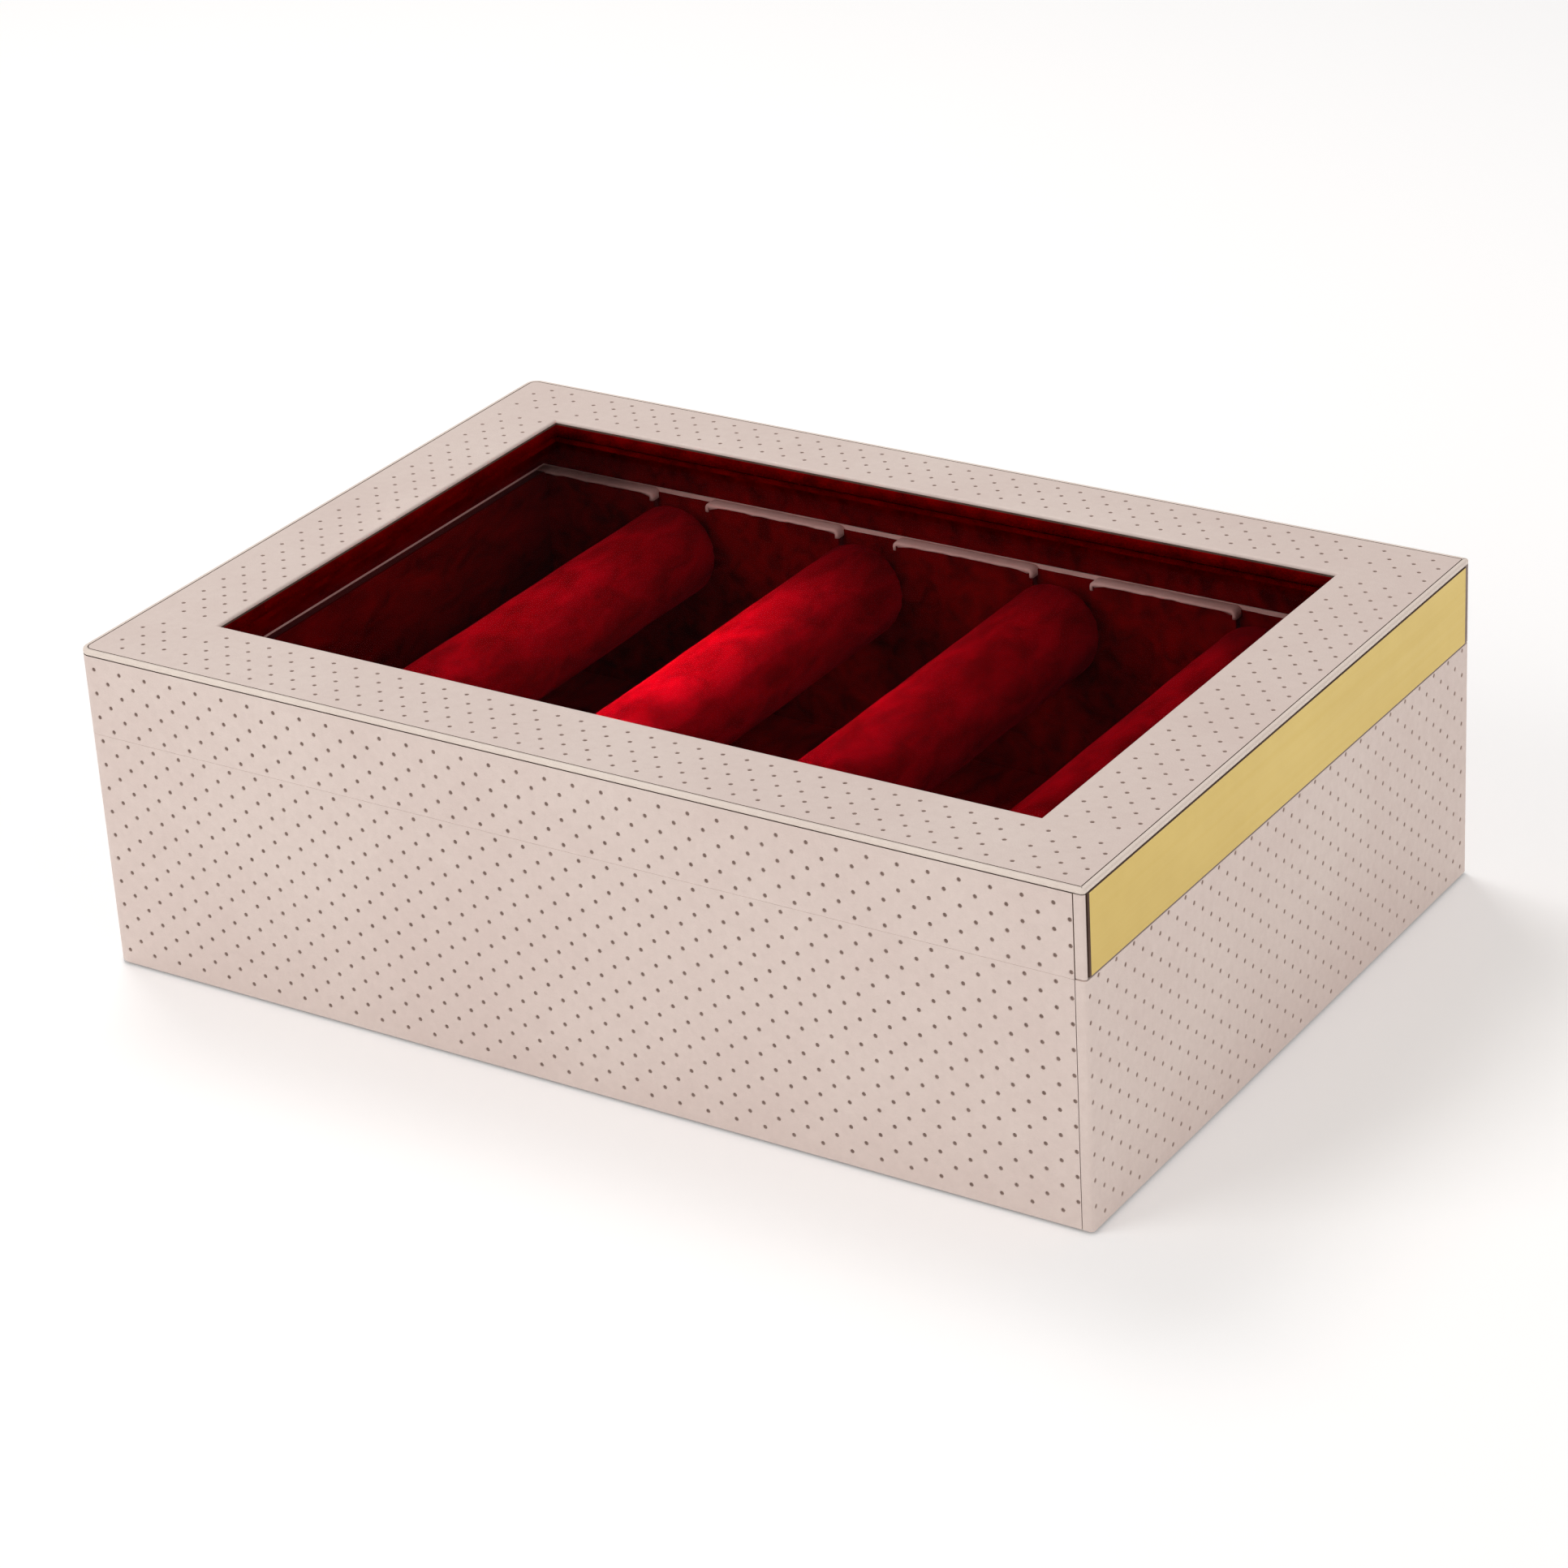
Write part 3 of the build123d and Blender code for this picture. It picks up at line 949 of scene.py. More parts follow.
CASE_BOARD = Board("raw_board", (0.420, 0.330, 0.230), (0.330, 0.250, 0.170))
LINER_CARD = Board("red_card", (0.130, 0.004, 0.006), (0.090, 0.002, 0.004))
SOLE_PAPER = Board("plain_paper", (0.330, 0.260, 0.230), (0.270, 0.210, 0.190), 900.0)
WOOD = Softwood("turned_softwood", (0.520, 0.340, 0.180), (0.400, 0.240, 0.110))
PANE = ClearPane("clear_sheet", (0.96, 0.96, 0.96))
PAPER = StudioPaper("studio_paper", (0.97, 0.97, 0.97), 0.14)


def dress(node: str, finish: Finish) -> None:
    """Gives a CAD node that isn't replaced its finish.

    Args:
        node: The node's name.
        finish: Its finish.
    """
    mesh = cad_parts[node].data
    mesh.materials.clear()
    mesh.materials.append(finish.material())


def fit(piece: bpy.types.Object, body: str, slot: str, *nodes: str) -> None:
    """Puts a finished piece on its body and in place of its nodes.

    Args:
        piece: The piece.
        body: The body it rides on.
        slot: Not used.
        *nodes: The CAD nodes that it replaces.
    """
    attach(piece, body)
    if nodes:
        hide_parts(*nodes)
    log.info("%s on %s, %d faces", piece.name, body, len(piece.data.polygons))


# Sub-assemblies


WRAP_HOLES = Lattice(4.08, 3.35, -1.62, -2.09, margin=0.2)
END_HOLES = Lattice(4.14, 3.45, 1.14, 0.13, margin=0.2)
TOP_HOLES = Lattice(3.40, 4.12, -2.06, 0.16)


@dataclass
class CoverBand:
    """Perforated leatherette round the outside of one half of the box.

    Args:
        body: The body it rides on.
        low, high: Its lowest and highest level.
        fold: Which of the two edges is the turned one, at the joint.
        lined_to: Level at which the turned-in edge ends inside.
        edge_radius: Radius of the turned edge.
        seam_gap: Gap between the two lengths at the seam.
        wrap_ease, end_ease: How far each length's ends draw back per millimetre of depth.
        inside: Finish of the turned-in part.
    """

    body: str
    low: float
    high: float
    fold: Fold
    lined_to: float
    edge_radius: float = 0.08
    seam_gap: float = 0.18
    wrap_ease: float = 0.4
    end_ease: float = 0.46
    inside: Finish = LEATHERETTE

    def profile(self) -> list[Plan]:
        """The cover's section.

        Returns:
            Insets and levels from the outer face over the turned edge to the other edge.
        """
        joint, other = (self.high, self.low) if self.fold is Fold.UP else (self.low, self.high)
        into = -1 if self.fold is Fold.UP else 1
        radius = self.edge_radius
        wall = SKIN + BOARD
        deep = wall + SKIN
        outer = quarter(radius, joint + into * radius, radius, -1, -into)
        inner = quarter(deep - radius, joint + into * radius, radius, 1, -into)
        under = joint + into * SKIN
        hidden = [(deep, self.lined_to), (wall, self.lined_to), (wall, under), (SKIN, under), (SKIN, other)]
        return [*outer, *reversed(inner), *hidden, (0.0, other)]

    def make(self, name: str, path: CoverPath, lattice: Lattice) -> bpy.types.Object:
        """Builds one length of the cover.

        Args:
            name: The piece's name.
            path: The line it follows.
            lattice: Its holes, by distance along the line and level.

        Returns:
            The piece.
        """
        shell = Shell()
        upright = (self.low, self.high - self.edge_radius)
        if self.fold is Fold.DOWN:
            upright = (self.low + self.edge_radius, self.high)
        distances, levels = perforate(shell, path.place, (0.0, path.length), upright, lattice, path.breaks())
        profile = self.profile()
        sweep(shell, path, distances, profile)
        order = levels if self.fold is Fold.UP else list(reversed(levels))
        for end in (0.0, path.length):
            outer = [path.place(end, z, 0.0) for z in order]
            rest = [path.place(end, level, inset) for inset, level in profile[1:-1]]
            shell.face(outer + rest)
        # The raw edge (material 2) takes the painted shade, a thin dark line along the cover's edge.
        return shell.build(name, LEATHERETTE, HOLE, PAINTED_SHADE, self.inside)

    def wrap(self) -> bpy.types.Object:
        """The length round the rear, the hinge end and the front.

        Returns:
            The piece.
        """
        corners = ((SEAM_X, HALF_Y), (-HALF_X, HALF_Y), (-HALF_X, -HALF_Y), (SEAM_X, -HALF_Y))
        path = CoverPath(corners, (HINGE_END_RADIUS,) * 2, mitre=(SEAM_X, self.wrap_ease))
        return self.make(f"{self.body}_leatherette_wrap", path, WRAP_HOLES.moved(path.length - SEAM_X))

    def plate_end(self) -> bpy.types.Object:
        """The length folded round the plate end.

        Returns:
            The piece.
        """
        start = SEAM_X + self.seam_gap
        corners = ((start, -HALF_Y), (HALF_X, -HALF_Y), (HALF_X, HALF_Y), (start, HALF_Y))
        path = CoverPath(corners, (PLATE_END_RADIUS,) * 2, mitre=(start, self.end_ease), wraps_plate_end=True)
        return self.make(f"{self.body}_leatherette_end", path, END_HOLES.moved(path.length / 2))


@dataclass
class TopCover:
    """Leatherette over the lid's top, with its edge band, groove and window.

    Args:
        window: The window in plan.
        groove: Height of the groove under the edge band.
        groove_depth: How far in the groove goes.
        edge_radius: Radius of the outer edge.
        crease: Insets of the crease inside the edge band, and how deep it is.
        window_radius: Radius of the edge round the window.
        border: Width of the strip outside the perforated flat.
        arc_steps: Straight parts in each corner.
    """

    window: Range = window_range()
    groove: float = 0.3
    groove_depth: float = 1.2
    edge_radius: float = 0.6
    crease: Triple = (1.5, 1.22, 0.2)
    window_radius: float = 0.8
    border: float = 1.6
    arc_steps: int = 8

    @property
    def flat(self) -> Range:
        """The perforated part in plan."""
        return HINGE_END_RADIUS - HALF_X, HALF_X - self.border, self.border - HALF_Y, HALF_Y - self.border

    def rounded_outline(self) -> list[list[tuple[Vector, Vector]]]:
        """The outline's corners.

        Returns:
            For each corner, its plan points with their outward directions.
        """
        corners = []
        for sx, sy in ((1, -1), (1, 1), (-1, 1), (-1, -1)):
            radius = PLATE_END_RADIUS if sx > 0 else HINGE_END_RADIUS
            centre = Vector((sx * (HALF_X - radius), sy * (HALF_Y - radius)))
            first = math.atan2(sy, 0) if sx * sy < 0 else math.atan2(0, sx)
            ways = [Vector((math.cos(first + a), math.sin(first + a))) for a in turns(self.arc_steps)]
            corners.append([(centre + out * radius, out) for out in ways])
        return corners

    def border_points(
        self, us: Sequence[float], vs: Sequence[float]
    ) -> list[tuple[Plan, Vector, Vector]]:
        """Border points of the flat, each with the outline's point and direction opposite it.

        Args:
            us: Coordinates of the flat's border points along X.
            vs: The same along Y.

        Returns:
            Inner point, outer point and outward direction, in order round the lid.
        """
        x0, x1, y0, y1 = self.flat
        fans = self.rounded_outline()
        rows: list[tuple[Plan, Vector, Vector]] = []
        low_x, high_x = HINGE_END_RADIUS - HALF_X, HALF_X - PLATE_END_RADIUS
        plate_y, hinge_y = HALF_Y - PLATE_END_RADIUS, HALF_Y - HINGE_END_RADIUS

        def fan(number: int, corner: Plan) -> None:
            """Turns one corner."""
            rows.extend((corner, spot, out) for spot, out in fans[number])

        def long_side(along: Iterable[float], y: float, sign: int) -> None:
            """Follows the front or the rear."""
            rows.extend(
                ((u, y), Vector((min(max(u, low_x), high_x), sign * HALF_Y)), Vector((0, sign)))
                for u in along
            )

        def short_side(along: Iterable[float], x: float, sign: int, limit: float) -> None:
            """Follows the plate end or the hinge end."""
            rows.extend(
                ((x, v), Vector((sign * HALF_X, min(max(v, -limit), limit))), Vector((sign, 0)))
                for v in along
            )

        long_side(us, y0, -1)
        fan(0, (x1, y0))
        short_side(vs, x1, 1, plate_y)
        fan(1, (x1, y1))
        long_side(reversed(us), y1, 1)
        fan(2, (x0, y1))
        short_side(reversed(vs), x0, -1, hinge_y)
        fan(3, (x0, y0))
        return rows

    def build(self) -> bpy.types.Object:
        """Builds the cover.

        Returns:
            The piece.
        """
        shell = Shell()
        x0, x1, y0, y1 = self.rounded_window()
        us, vs = perforate(
            shell, lambda x, y, depth: Vector((x, y, TOP - depth)), self.flat[:2], self.flat[2:], TOP_HOLES,
            (x0, x1), (y0, y1), lambda x, y: x0 < x < x1 and y0 < y < y1,
        )
        rows = self.border_points(us, vs)
        edge = self.edge_radius
        outer, inner, deep = self.crease
        highlit, dark = 2, 3
        # The crease's faces take the painted shade.
        profile = [(outer, TOP, 0), ((outer + inner) / 2, TOP - deep, dark), (inner, TOP, dark)]
        # The rounded edge and the band above the groove take the painted highlight.
        profile += [(i, z, highlit) for i, z in reversed(quarter(edge, TOP - edge, edge, -1, 1))]
        # The groove's ceiling and back take the painted shade.
        lip = TOP_UNDER + self.groove
        profile += [(0.0, lip, highlit), (self.groove_depth, lip, dark), (self.groove_depth, TOP_UNDER, dark)]
        previous = [Vector((*flat_point, TOP)) for flat_point, _, _ in rows]
        for inset, level, material in profile:
            row = [Vector((*(spot - out * inset), level)) for _, spot, out in rows]
            shell.bridge(previous, row, closed=True, material=material, smooth=inset < 1.0)
            previous = row
        self.window_edge(shell, us, vs)
        return shell.build("lid_top_leatherette", LEATHERETTE, HOLE, EDGE_HIGHLIGHT, PAINTED_SHADE)

    def rounded_window(self) -> Range:
        """The window with the rounded edge round it, in plan."""
        x0, x1, y0, y1 = self.window
        grow = self.window_radius
        return x0 - grow, x1 + grow, y0 - grow, y1 + grow

    def window_edge(self, shell: Shell, us: Sequence[float], vs: Sequence[float]) -> None:
        """Turns the cover down through the window.

        Args:
            shell: Takes the faces.
            us, vs: Coordinates of the flat's points along X and along Y.
        """
        x0, x1, y0, y1 = self.rounded_window()
        radius = self.window_radius
        along = [u for u in us if x0 - NEAR <= u <= x1 + NEAR]
        across = [v for v in vs if y0 - NEAR <= v <= y1 + NEAR]
        ring = [(u, y0) for u in along] + [(x1, v) for v in across]
        ring += [(u, y1) for u in reversed(along)] + [(x0, v) for v in reversed(across)]
        profile = [(i, z, 0) for i, z in reversed(quarter(radius, TOP - radius, radius, -1, 1))]
        # The reveal under the rounded edge takes the painted shade: a thin dark line above the velvet facing.
        profile += [(0.0, WINDOW_FOOT, 3), (SKIN, WINDOW_FOOT, 0), (SKIN, TOP_UNDER, 0)]
        previous: list[Vector] = []
        for inset, level, material in profile:
            row = []
            for u, v in ring:
                x = self.drawn_in(u, self.window[:2], inset)
                y = self.drawn_in(v, self.window[2:], inset)
                row.append(Vector((x, y, level)))
            if previous:
                shell.bridge(previous, row, closed=True, material=material)
            previous = row

    def drawn_in(self, value: float, ends: Plan, inset: float) -> float:
        """A coordinate of the window's edge.

        Args:
            value: The coordinate on the rounded edge's outer line.
            ends: The window's lowest and highest coordinate in this direction.
            inset: How far outside the window the edge is to be.

        Returns:
            The coordinate at that inset.
        """
        low, high = ends
        if abs(value - (low - self.window_radius)) < NEAR:
            return low - inset
        if abs(value - (high + self.window_radius)) < NEAR:
            return high + inset
        return min(max(value, low - inset), high + inset)


@dataclass
class VelvetRoll:
    """One padded velvet roll with its necks.

    Args:
        number: Its number, counted from the hinge end.
        x: Place of its axis.
        end_radius: Rounding of the roll's ends.
        neck_lip: Rounding of the necks' ends.
        around, along: Parts round the roll and along it.
        neck_around: Parts round a neck.
    """

    number: int
    x: float
    end_radius: float = 5.0
    neck_lip: float = 0.7
    around: int = 56
    along: int = 72
    neck_around: int = 40

    def spot(self, angle: float, y: float, radius: float) -> Vector:
        """A point at an angle round the roll's axis."""
        return Vector((self.x + radius * math.cos(angle), y, ROLL_Z + radius * math.sin(angle)))

    def outline(self) -> list[Plan]:
        """The padded velvet's outline.

        Returns:
            Distances along the roll and radii, from neck to neck.
        """
        straight, core = ROLL_HALF - self.end_radius, ROLL_RADIUS - self.end_radius
        bend = [
            (straight + self.end_radius * math.sin(a), core + self.end_radius * math.cos(a)) for a in turns(8)
        ]
        middle = [(straight * (2 * k / self.along - 1), ROLL_RADIUS) for k in range(1, self.along)]
        mouth = (ROLL_HALF - 0.25, NECK_RADIUS - 0.35)
        left = [(-y, r) for y, r in reversed([*bend, mouth])]
        return [*left, *middle, *bend, mouth]

    def swell(self, angle: float, y: float, radius: float) -> float:
        """Radius of the velvet, uneven by hand, gathered towards its ends and sewn along its underside.

        Args:
            angle: Angle round the roll.
            y: Distance along it.
            radius: The outline's radius there.

        Returns:
            The radius of the padded velvet.
        """
        gathered, fading, sunk = 9, 4, 0.22
        pleat_depth, pleats, seam_depth, seam_width = 0.16, 22, 0.25, 0.05
        seed = Vector((math.cos(angle) * 1.3 + 7 * self.number, y / 26, math.sin(angle) * 1.3))
        uneven = 0.22 * noise.noise(seed) + 0.10 * noise.noise(seed * 3.1)
        close = max(0.0, 1 - (ROLL_HALF - abs(y)) / gathered)
        pleating = pleat_depth * close * math.cos(pleats * angle + 3 * noise.noise(seed * 2))
        seam = -seam_depth * math.exp(-(((angle - 1.5 * math.pi) / seam_width) ** 2))
        fade = min(1.0, max(0.0, (radius - NECK_RADIUS) / fading))
        return radius - sunk + fade * (uneven + pleating + seam)

    def build(self) -> None:
        """Builds the padded roll and the velvet on its necks."""
        body = f"roll_{self.number}"
        shell = Shell()
        angles = turns(self.around, 2 * math.pi)[:-1]
        rows = [
            [self.spot(angle, y, self.swell(angle, y, radius)) for angle in angles]
            for y, radius in self.outline()
        ]
        shell.skin(rows, closed=True)
        shell.face(rows[0])
        shell.face(rows[-1])
        pad = shell.build(f"{body}_velvet_roll", CRIMSON)
        fit(pad, body, "roll_velvet", f"{body}_velvet", f"{body}_padding")
        necks = self.necks().build(f"{body}_neck_velvet", CRIMSON)
        fit(necks, body, "roll_velvet", f"{body}_end_caps")
        dress(f"{body}_core", WOOD)

    def necks(self) -> Shell:
        """Velvet drawn over the two ends of the core.

        Returns:
            The faces of both.
        """
        shell = Shell()
        lip = self.neck_lip
        flat, core = NECK_HALF - lip, NECK_RADIUS - lip
        profile = [(ROLL_HALF - 0.4, NECK_RADIUS - 0.05), (flat, NECK_RADIUS - 0.02)]
        profile += [(flat + lip * math.sin(a), core + lip * math.cos(a)) for a in turns(4)[1:]]
        profile += [(NECK_HALF, 5.0), (NECK_HALF - 0.15, 2.0)]
        angles = turns(self.neck_around, 2 * math.pi)[:-1]
        for side in (-1, 1):
            rows = [[self.spot(angle, side * y, radius) for angle in angles] for y, radius in profile]
            shell.skin(rows, closed=True)
            shell.face(rows[-1])
            shell.face(rows[0])
        return shell


@dataclass
class BaseLining:
    """Velvet faces, card and bound edges inside the base.

    Args:
        high: Level of the linings' upper edge.
        face_y, card_y, back_y: The long linings' velvet, their card and the back of their card.
        half_x: Half their length.
        end_x, end_card_x: The short linings' velvet and their card.
        slot_radius: Radius of the foot of a roll's slot.
        lip_radius: Rounding of a slot's lips.
        curl_drop: How far the bound edge goes down into a slot.
        bound: Thickness of the bound edge.
    """

    high: float = span("liner_rear", Z)[1]
    face_y: float = span("liner_velvet_rear", Y)[0]
    card_y: float = span("liner_rear", Y)[0]
    back_y: float = span("liner_rear", Y)[1]
    half_x: float = span("liner_rear", X)[1]
    end_x: float = span("liner_velvet_plate_end", X)[0]
    end_card_x: float = span("liner_plate_end", X)[0]
    slot_radius: float = NECK_RADIUS + NECK_PLAY
    lip_radius: float = 1.2
    curl_drop: float = 2.2
    bound: float = 0.4

    def lip(self, x: float, outward: int) -> list[Plan]:
        """The rounded lip of a slot.

        Args:
            x: Middle of the slot.
            outward: Side of the slot that the lip is on, -1 or 1.

        Returns:
            Points from the level top to the slot's side.
        """
        radius = self.lip_radius
        centre_x = x + outward * (self.slot_radius + radius)
        centre_z = self.high - radius
        return [
            (centre_x - outward * radius * math.sin(a), centre_z + radius * math.cos(a)) for a in turns(5)
        ]

    def top_line(self, end: float) -> list[Plan]:
        """The slotted upper edge of a long lining.

        Args:
            end: Half the edge's length.

        Returns:
            Its points, from one end to the other.
        """
        line: list[Plan] = [(-end, self.high)]
        radius = self.slot_radius
        for x in ROLL_X:
            line += self.lip(x, -1)
            line += [
                (x + radius * math.cos(math.pi + a), ROLL_Z + radius * math.sin(math.pi + a))
                for a in turns(20, math.pi)
            ]
            line += reversed(self.lip(x, 1))
        return [*line, (end, self.high)]

    def long_face(self, side: Side) -> None:
        """Velvet on the slotted board of one long side, softly rolled over at its upper edge.

        Args:
            side: The front or the rear.
        """
        shell = Shell()
        line = self.top_line(self.half_x - 0.05)
        sign = side.value
        front = self.face_y + 0.02
        rolled = ((self.card_y, 0.0), (self.card_y - 0.25, 0.02), (self.face_y + 0.2, 0.12), (front, 0.45))
        rows = [[Vector((x, sign * y, z - drop)) for x, z in line] for y, drop in rolled]
        foot = [Vector((x, sign * front, FLOOR_TOP)) for x, _ in line]
        back = [Vector((x, sign * self.card_y, FLOOR_TOP)) for x, _ in line]
        shell.skin(rows)
        shell.face([*rows[-1], foot[-1], foot[0]])
        shell.face([*rows[0], back[-1], back[0]])
        shell.face((foot[0], foot[-1], back[-1], back[0]))
        for k in (0, -1):
            shell.face([row[k] for row in rows] + [foot[k], back[k]])
        self.place(shell, side.name.lower())

    def end_face(self, name: str, sign: int) -> None:
        """Velvet on the plain board of one short end.

        Args:
            name: The end.
            sign: Its side of the box along X.
        """
        shell = Shell()
        half, high = self.face_y - 0.1, self.high
        section = (
            (self.end_card_x, FLOOR_TOP), (self.end_card_x, high), (self.end_card_x - 0.3, high),
            (self.end_x + 0.15, high - 0.15), (self.end_x, high - 0.5), (self.end_x, FLOOR_TOP),
        )
        across = (-half, -half / 3, half / 3, half)
        shell.bar([[Vector((sign * x, y, z)) for y in across] for x, z in section])
        self.place(shell, name)

    @staticmethod
    def place(shell: Shell, name: str) -> None:
        """Puts the velvet of one side in place, and dresses its card.

        Args:
            shell: The velvet's faces.
            name: The side.
        """
        fit(shell.build(f"base_velvet_{name}", LINING), "base", "lining_velvet", f"liner_velvet_{name}")
        dress(f"liner_{name}", LINER_CARD)

    def floor(self) -> None:
        """Velvet on the floor, a little uneven."""
        shell = Shell()
        half_x, half_y = self.half_x - 0.1, self.back_y - 0.1
        parts_x, parts_y = 70, 48
        sunk, swell, wave = 0.12, 0.1, 18
        xs = [-half_x + 2 * half_x * k / parts_x for k in range(parts_x + 1)]
        ys = [-half_y + 2 * half_y * k / parts_y for k in range(parts_y + 1)]
        top = [
            [
                Vector((x, y, FLOOR_TOP - sunk + swell * noise.noise(Vector((x / wave, y / wave, 3.0)))))
                for x in xs
            ]
            for y in ys
        ]
        base = [[Vector((x, y, FLOOR_BOARD_TOP)) for x in xs] for y in ys]
        shell.skin(top)
        shell.skin(base)
        for k in (0, -1):
            shell.bridge(top[k], base[k])
            shell.bridge([row[k] for row in top], [row[k] for row in base])
        fit(shell.build("base_velvet_floor", LINING), "base", "lining_velvet", "base_floor_velvet")

    def binding(self, side: Side) -> None:
        """Leatherette bound over the card's upper edge, bunched where it turns into each slot.

        Args:
            side: The front or the rear.
        """
        shell = Shell()
        radius = self.slot_radius
        ends = [0.3 - self.half_x, *(x for c in ROLL_X for x in (c - radius, c + radius)), self.half_x - 0.3]
        for start, stop in zip(ends[::2], ends[1::2]):
            shell.bar(self.bound_rows(side.value, start, stop, (start > ends[0], stop < ends[-1])))
        # Its pink is painted red bounce light from the velvet.
        piece = shell.build(f"base_binding_{side.name.lower()}", BINDING_RED_BOUNCE)
        fit(piece, "base", "perforated_leatherette")

    def bound_rows(
        self, sign: int, start: float, stop: float, curls: tuple[bool, bool]
    ) -> list[list[Vector]]:
        """The bound edge between two slots.

        Args:
            sign: Its side of the box along Y.
            start, stop: Where it starts and ends along X.
            curls: True for each of its ends that turns down into a slot.

        Returns:
            Its long edges, in order round its section.
        """
        inner, outer, over = self.face_y - 0.3, self.back_y + 0.02, self.bound
        section = (
            (inner + 0.05, 0.0, True), (inner - 0.12, -0.35, False), (inner, 0.05, False),
            (inner + 0.35, over, False), (outer - 0.5, over, False), (outer, over, False),
            (outer - 0.2, -0.1, False), (inner + 0.28, -0.1, False), (inner + 0.26, 0.0, True),
        )
        rows: list[list[Vector]] = []
        for y, lift, hangs in section:
            row = []
            for (x, z), (nx, nz) in self.bound_line(start, stop, *curls):
                reach = self.fold_depth(x, start, stop, curls) if hangs else 0.0
                ripple = 0.2 * noise.noise(Vector((x / 1.1, y, 4.0 + sign)))
                sway = ripple if y < outer - 0.6 else 0.0
                away = lift - reach
                row.append(Vector((x + nx * away, sign * (y + sway), z + nz * (away + ripple))))
            rows.append(row)
        return rows

    @staticmethod
    def fold_depth(x: float, start: float, stop: float, curls: tuple[bool, bool]) -> float:
        """How far the bound edge hangs over the velvet, more beside a slot.

        Args:
            x: Place along the edge.
            start, stop: Where the edge starts and ends.
            curls: True for each of its ends that turns down into a slot.

        Returns:
            The depth.
        """
        beside, width = 1.6, 1.7
        slots = [edge for edge, curl in zip((start, stop), curls) if curl]
        bunch = sum(math.exp(-(((abs(x - edge) - beside) / width) ** 2)) for edge in slots)
        return 0.35 + 0.9 * bunch + 0.45 * noise.noise(Vector((x / 2.3, 9.0, 1.0)))

    def bound_line(self, start: float, stop: float, curl_start: bool, curl_stop: bool) -> list[Bound]:
        """The line that the bound edge follows between two slots.

        Args:
            start, stop: Where it starts and ends along X.
            curl_start, curl_stop: True if that end turns down into a slot.

        Returns:
            Its points in X and Z, each with the direction away from the card.
        """
        radius, steps = self.lip_radius, 14
        level = self.high - radius
        low, high = start + radius, stop - radius
        line: list[Bound] = []
        if curl_start:
            line.append(((start, self.high - self.curl_drop), (-1.0, 0.0)))
            for a in turns(5):
                way = (-math.cos(a), math.sin(a))
                line.append(((low + radius * way[0], level + radius * way[1]), way))
        else:
            line.append(((start, self.high), (0.0, 1.0)))
        for k in range(1, steps):
            x = low + (high - low) * k / steps
            wave = 0.10 * noise.noise(Vector((x / 7, 1.0, 2.0)))
            line.append(((x, self.high + wave), (0.0, 1.0)))
        if curl_stop:
            for a in turns(5):
                way = (math.sin(a), math.cos(a))
                line.append(((high + radius * way[0], level + radius * way[1]), way))
            line.append(((stop, self.high - self.curl_drop), (1.0, 0.0)))
        else:
            line.append(((stop, self.high), (0.0, 1.0)))
        return line

    def slot_backs(self, side: Side) -> None:
        """Velvet behind each slot, on the case's turned-in cover.

        Args:
            side: The front or the rear.
        """
        sign = side.value
        shell = Shell()
        half = self.slot_radius + 0.6
        back, foot, high = self.back_y - 0.05, ROLL_Z - 10, self.high
        profile = (
            (back, foot), (back, high - 0.7), (back - 0.35, high - 0.55), (back - 0.6, high - 0.8),
            (back - 0.6, foot),
        )
        for x in ROLL_X:
            us = [x - half + 2 * half * k / 8 for k in range(9)]
            shell.bar([
                [Vector((u, sign * y, z + 0.1 * noise.noise(Vector((u / 3, 5.0, z))))) for u in us]
                for y, z in profile
            ])
        piece = shell.build(f"base_velvet_slot_backs_{side.name.lower()}", LINING)
        fit(piece, "base", "lining_velvet")

    def build(self) -> None:
        """Builds every lining of the base."""
        for side in Side:
            self.long_face(side)
            self.binding(side)
            self.slot_backs(side)
        self.end_face("hinge_end", -1)
        self.end_face("plate_end", 1)
        self.floor()


@dataclass
class BaseCase:
    """Boards, cover, sole and magnets of the base."""

    def build(self) -> None:
        """Dresses the nodes that stay and builds the perforated cover."""
        # The cover's turned-in part takes the binding's pink, painted red bounce light from the velvet.
        cover = CoverBand("base", COVER_FOOT, JOINT, Fold.UP, FLOOR_BOARD_TOP, inside=BINDING_RED_BOUNCE)
        fit(cover.wrap(), "base", "perforated_leatherette", "base_cover_wrap")
        fit(cover.plate_end(), "base", "perforated_leatherette", "base_cover_end")
        for side in ("front", "rear", "hinge_end", "plate_end"):
            dress(f"base_board_{side}", CASE_BOARD)
        dress("base_floor_board", CASE_BOARD)
        dress("base_sole", SOLE_PAPER)
        dress("base_magnets", STEEL)


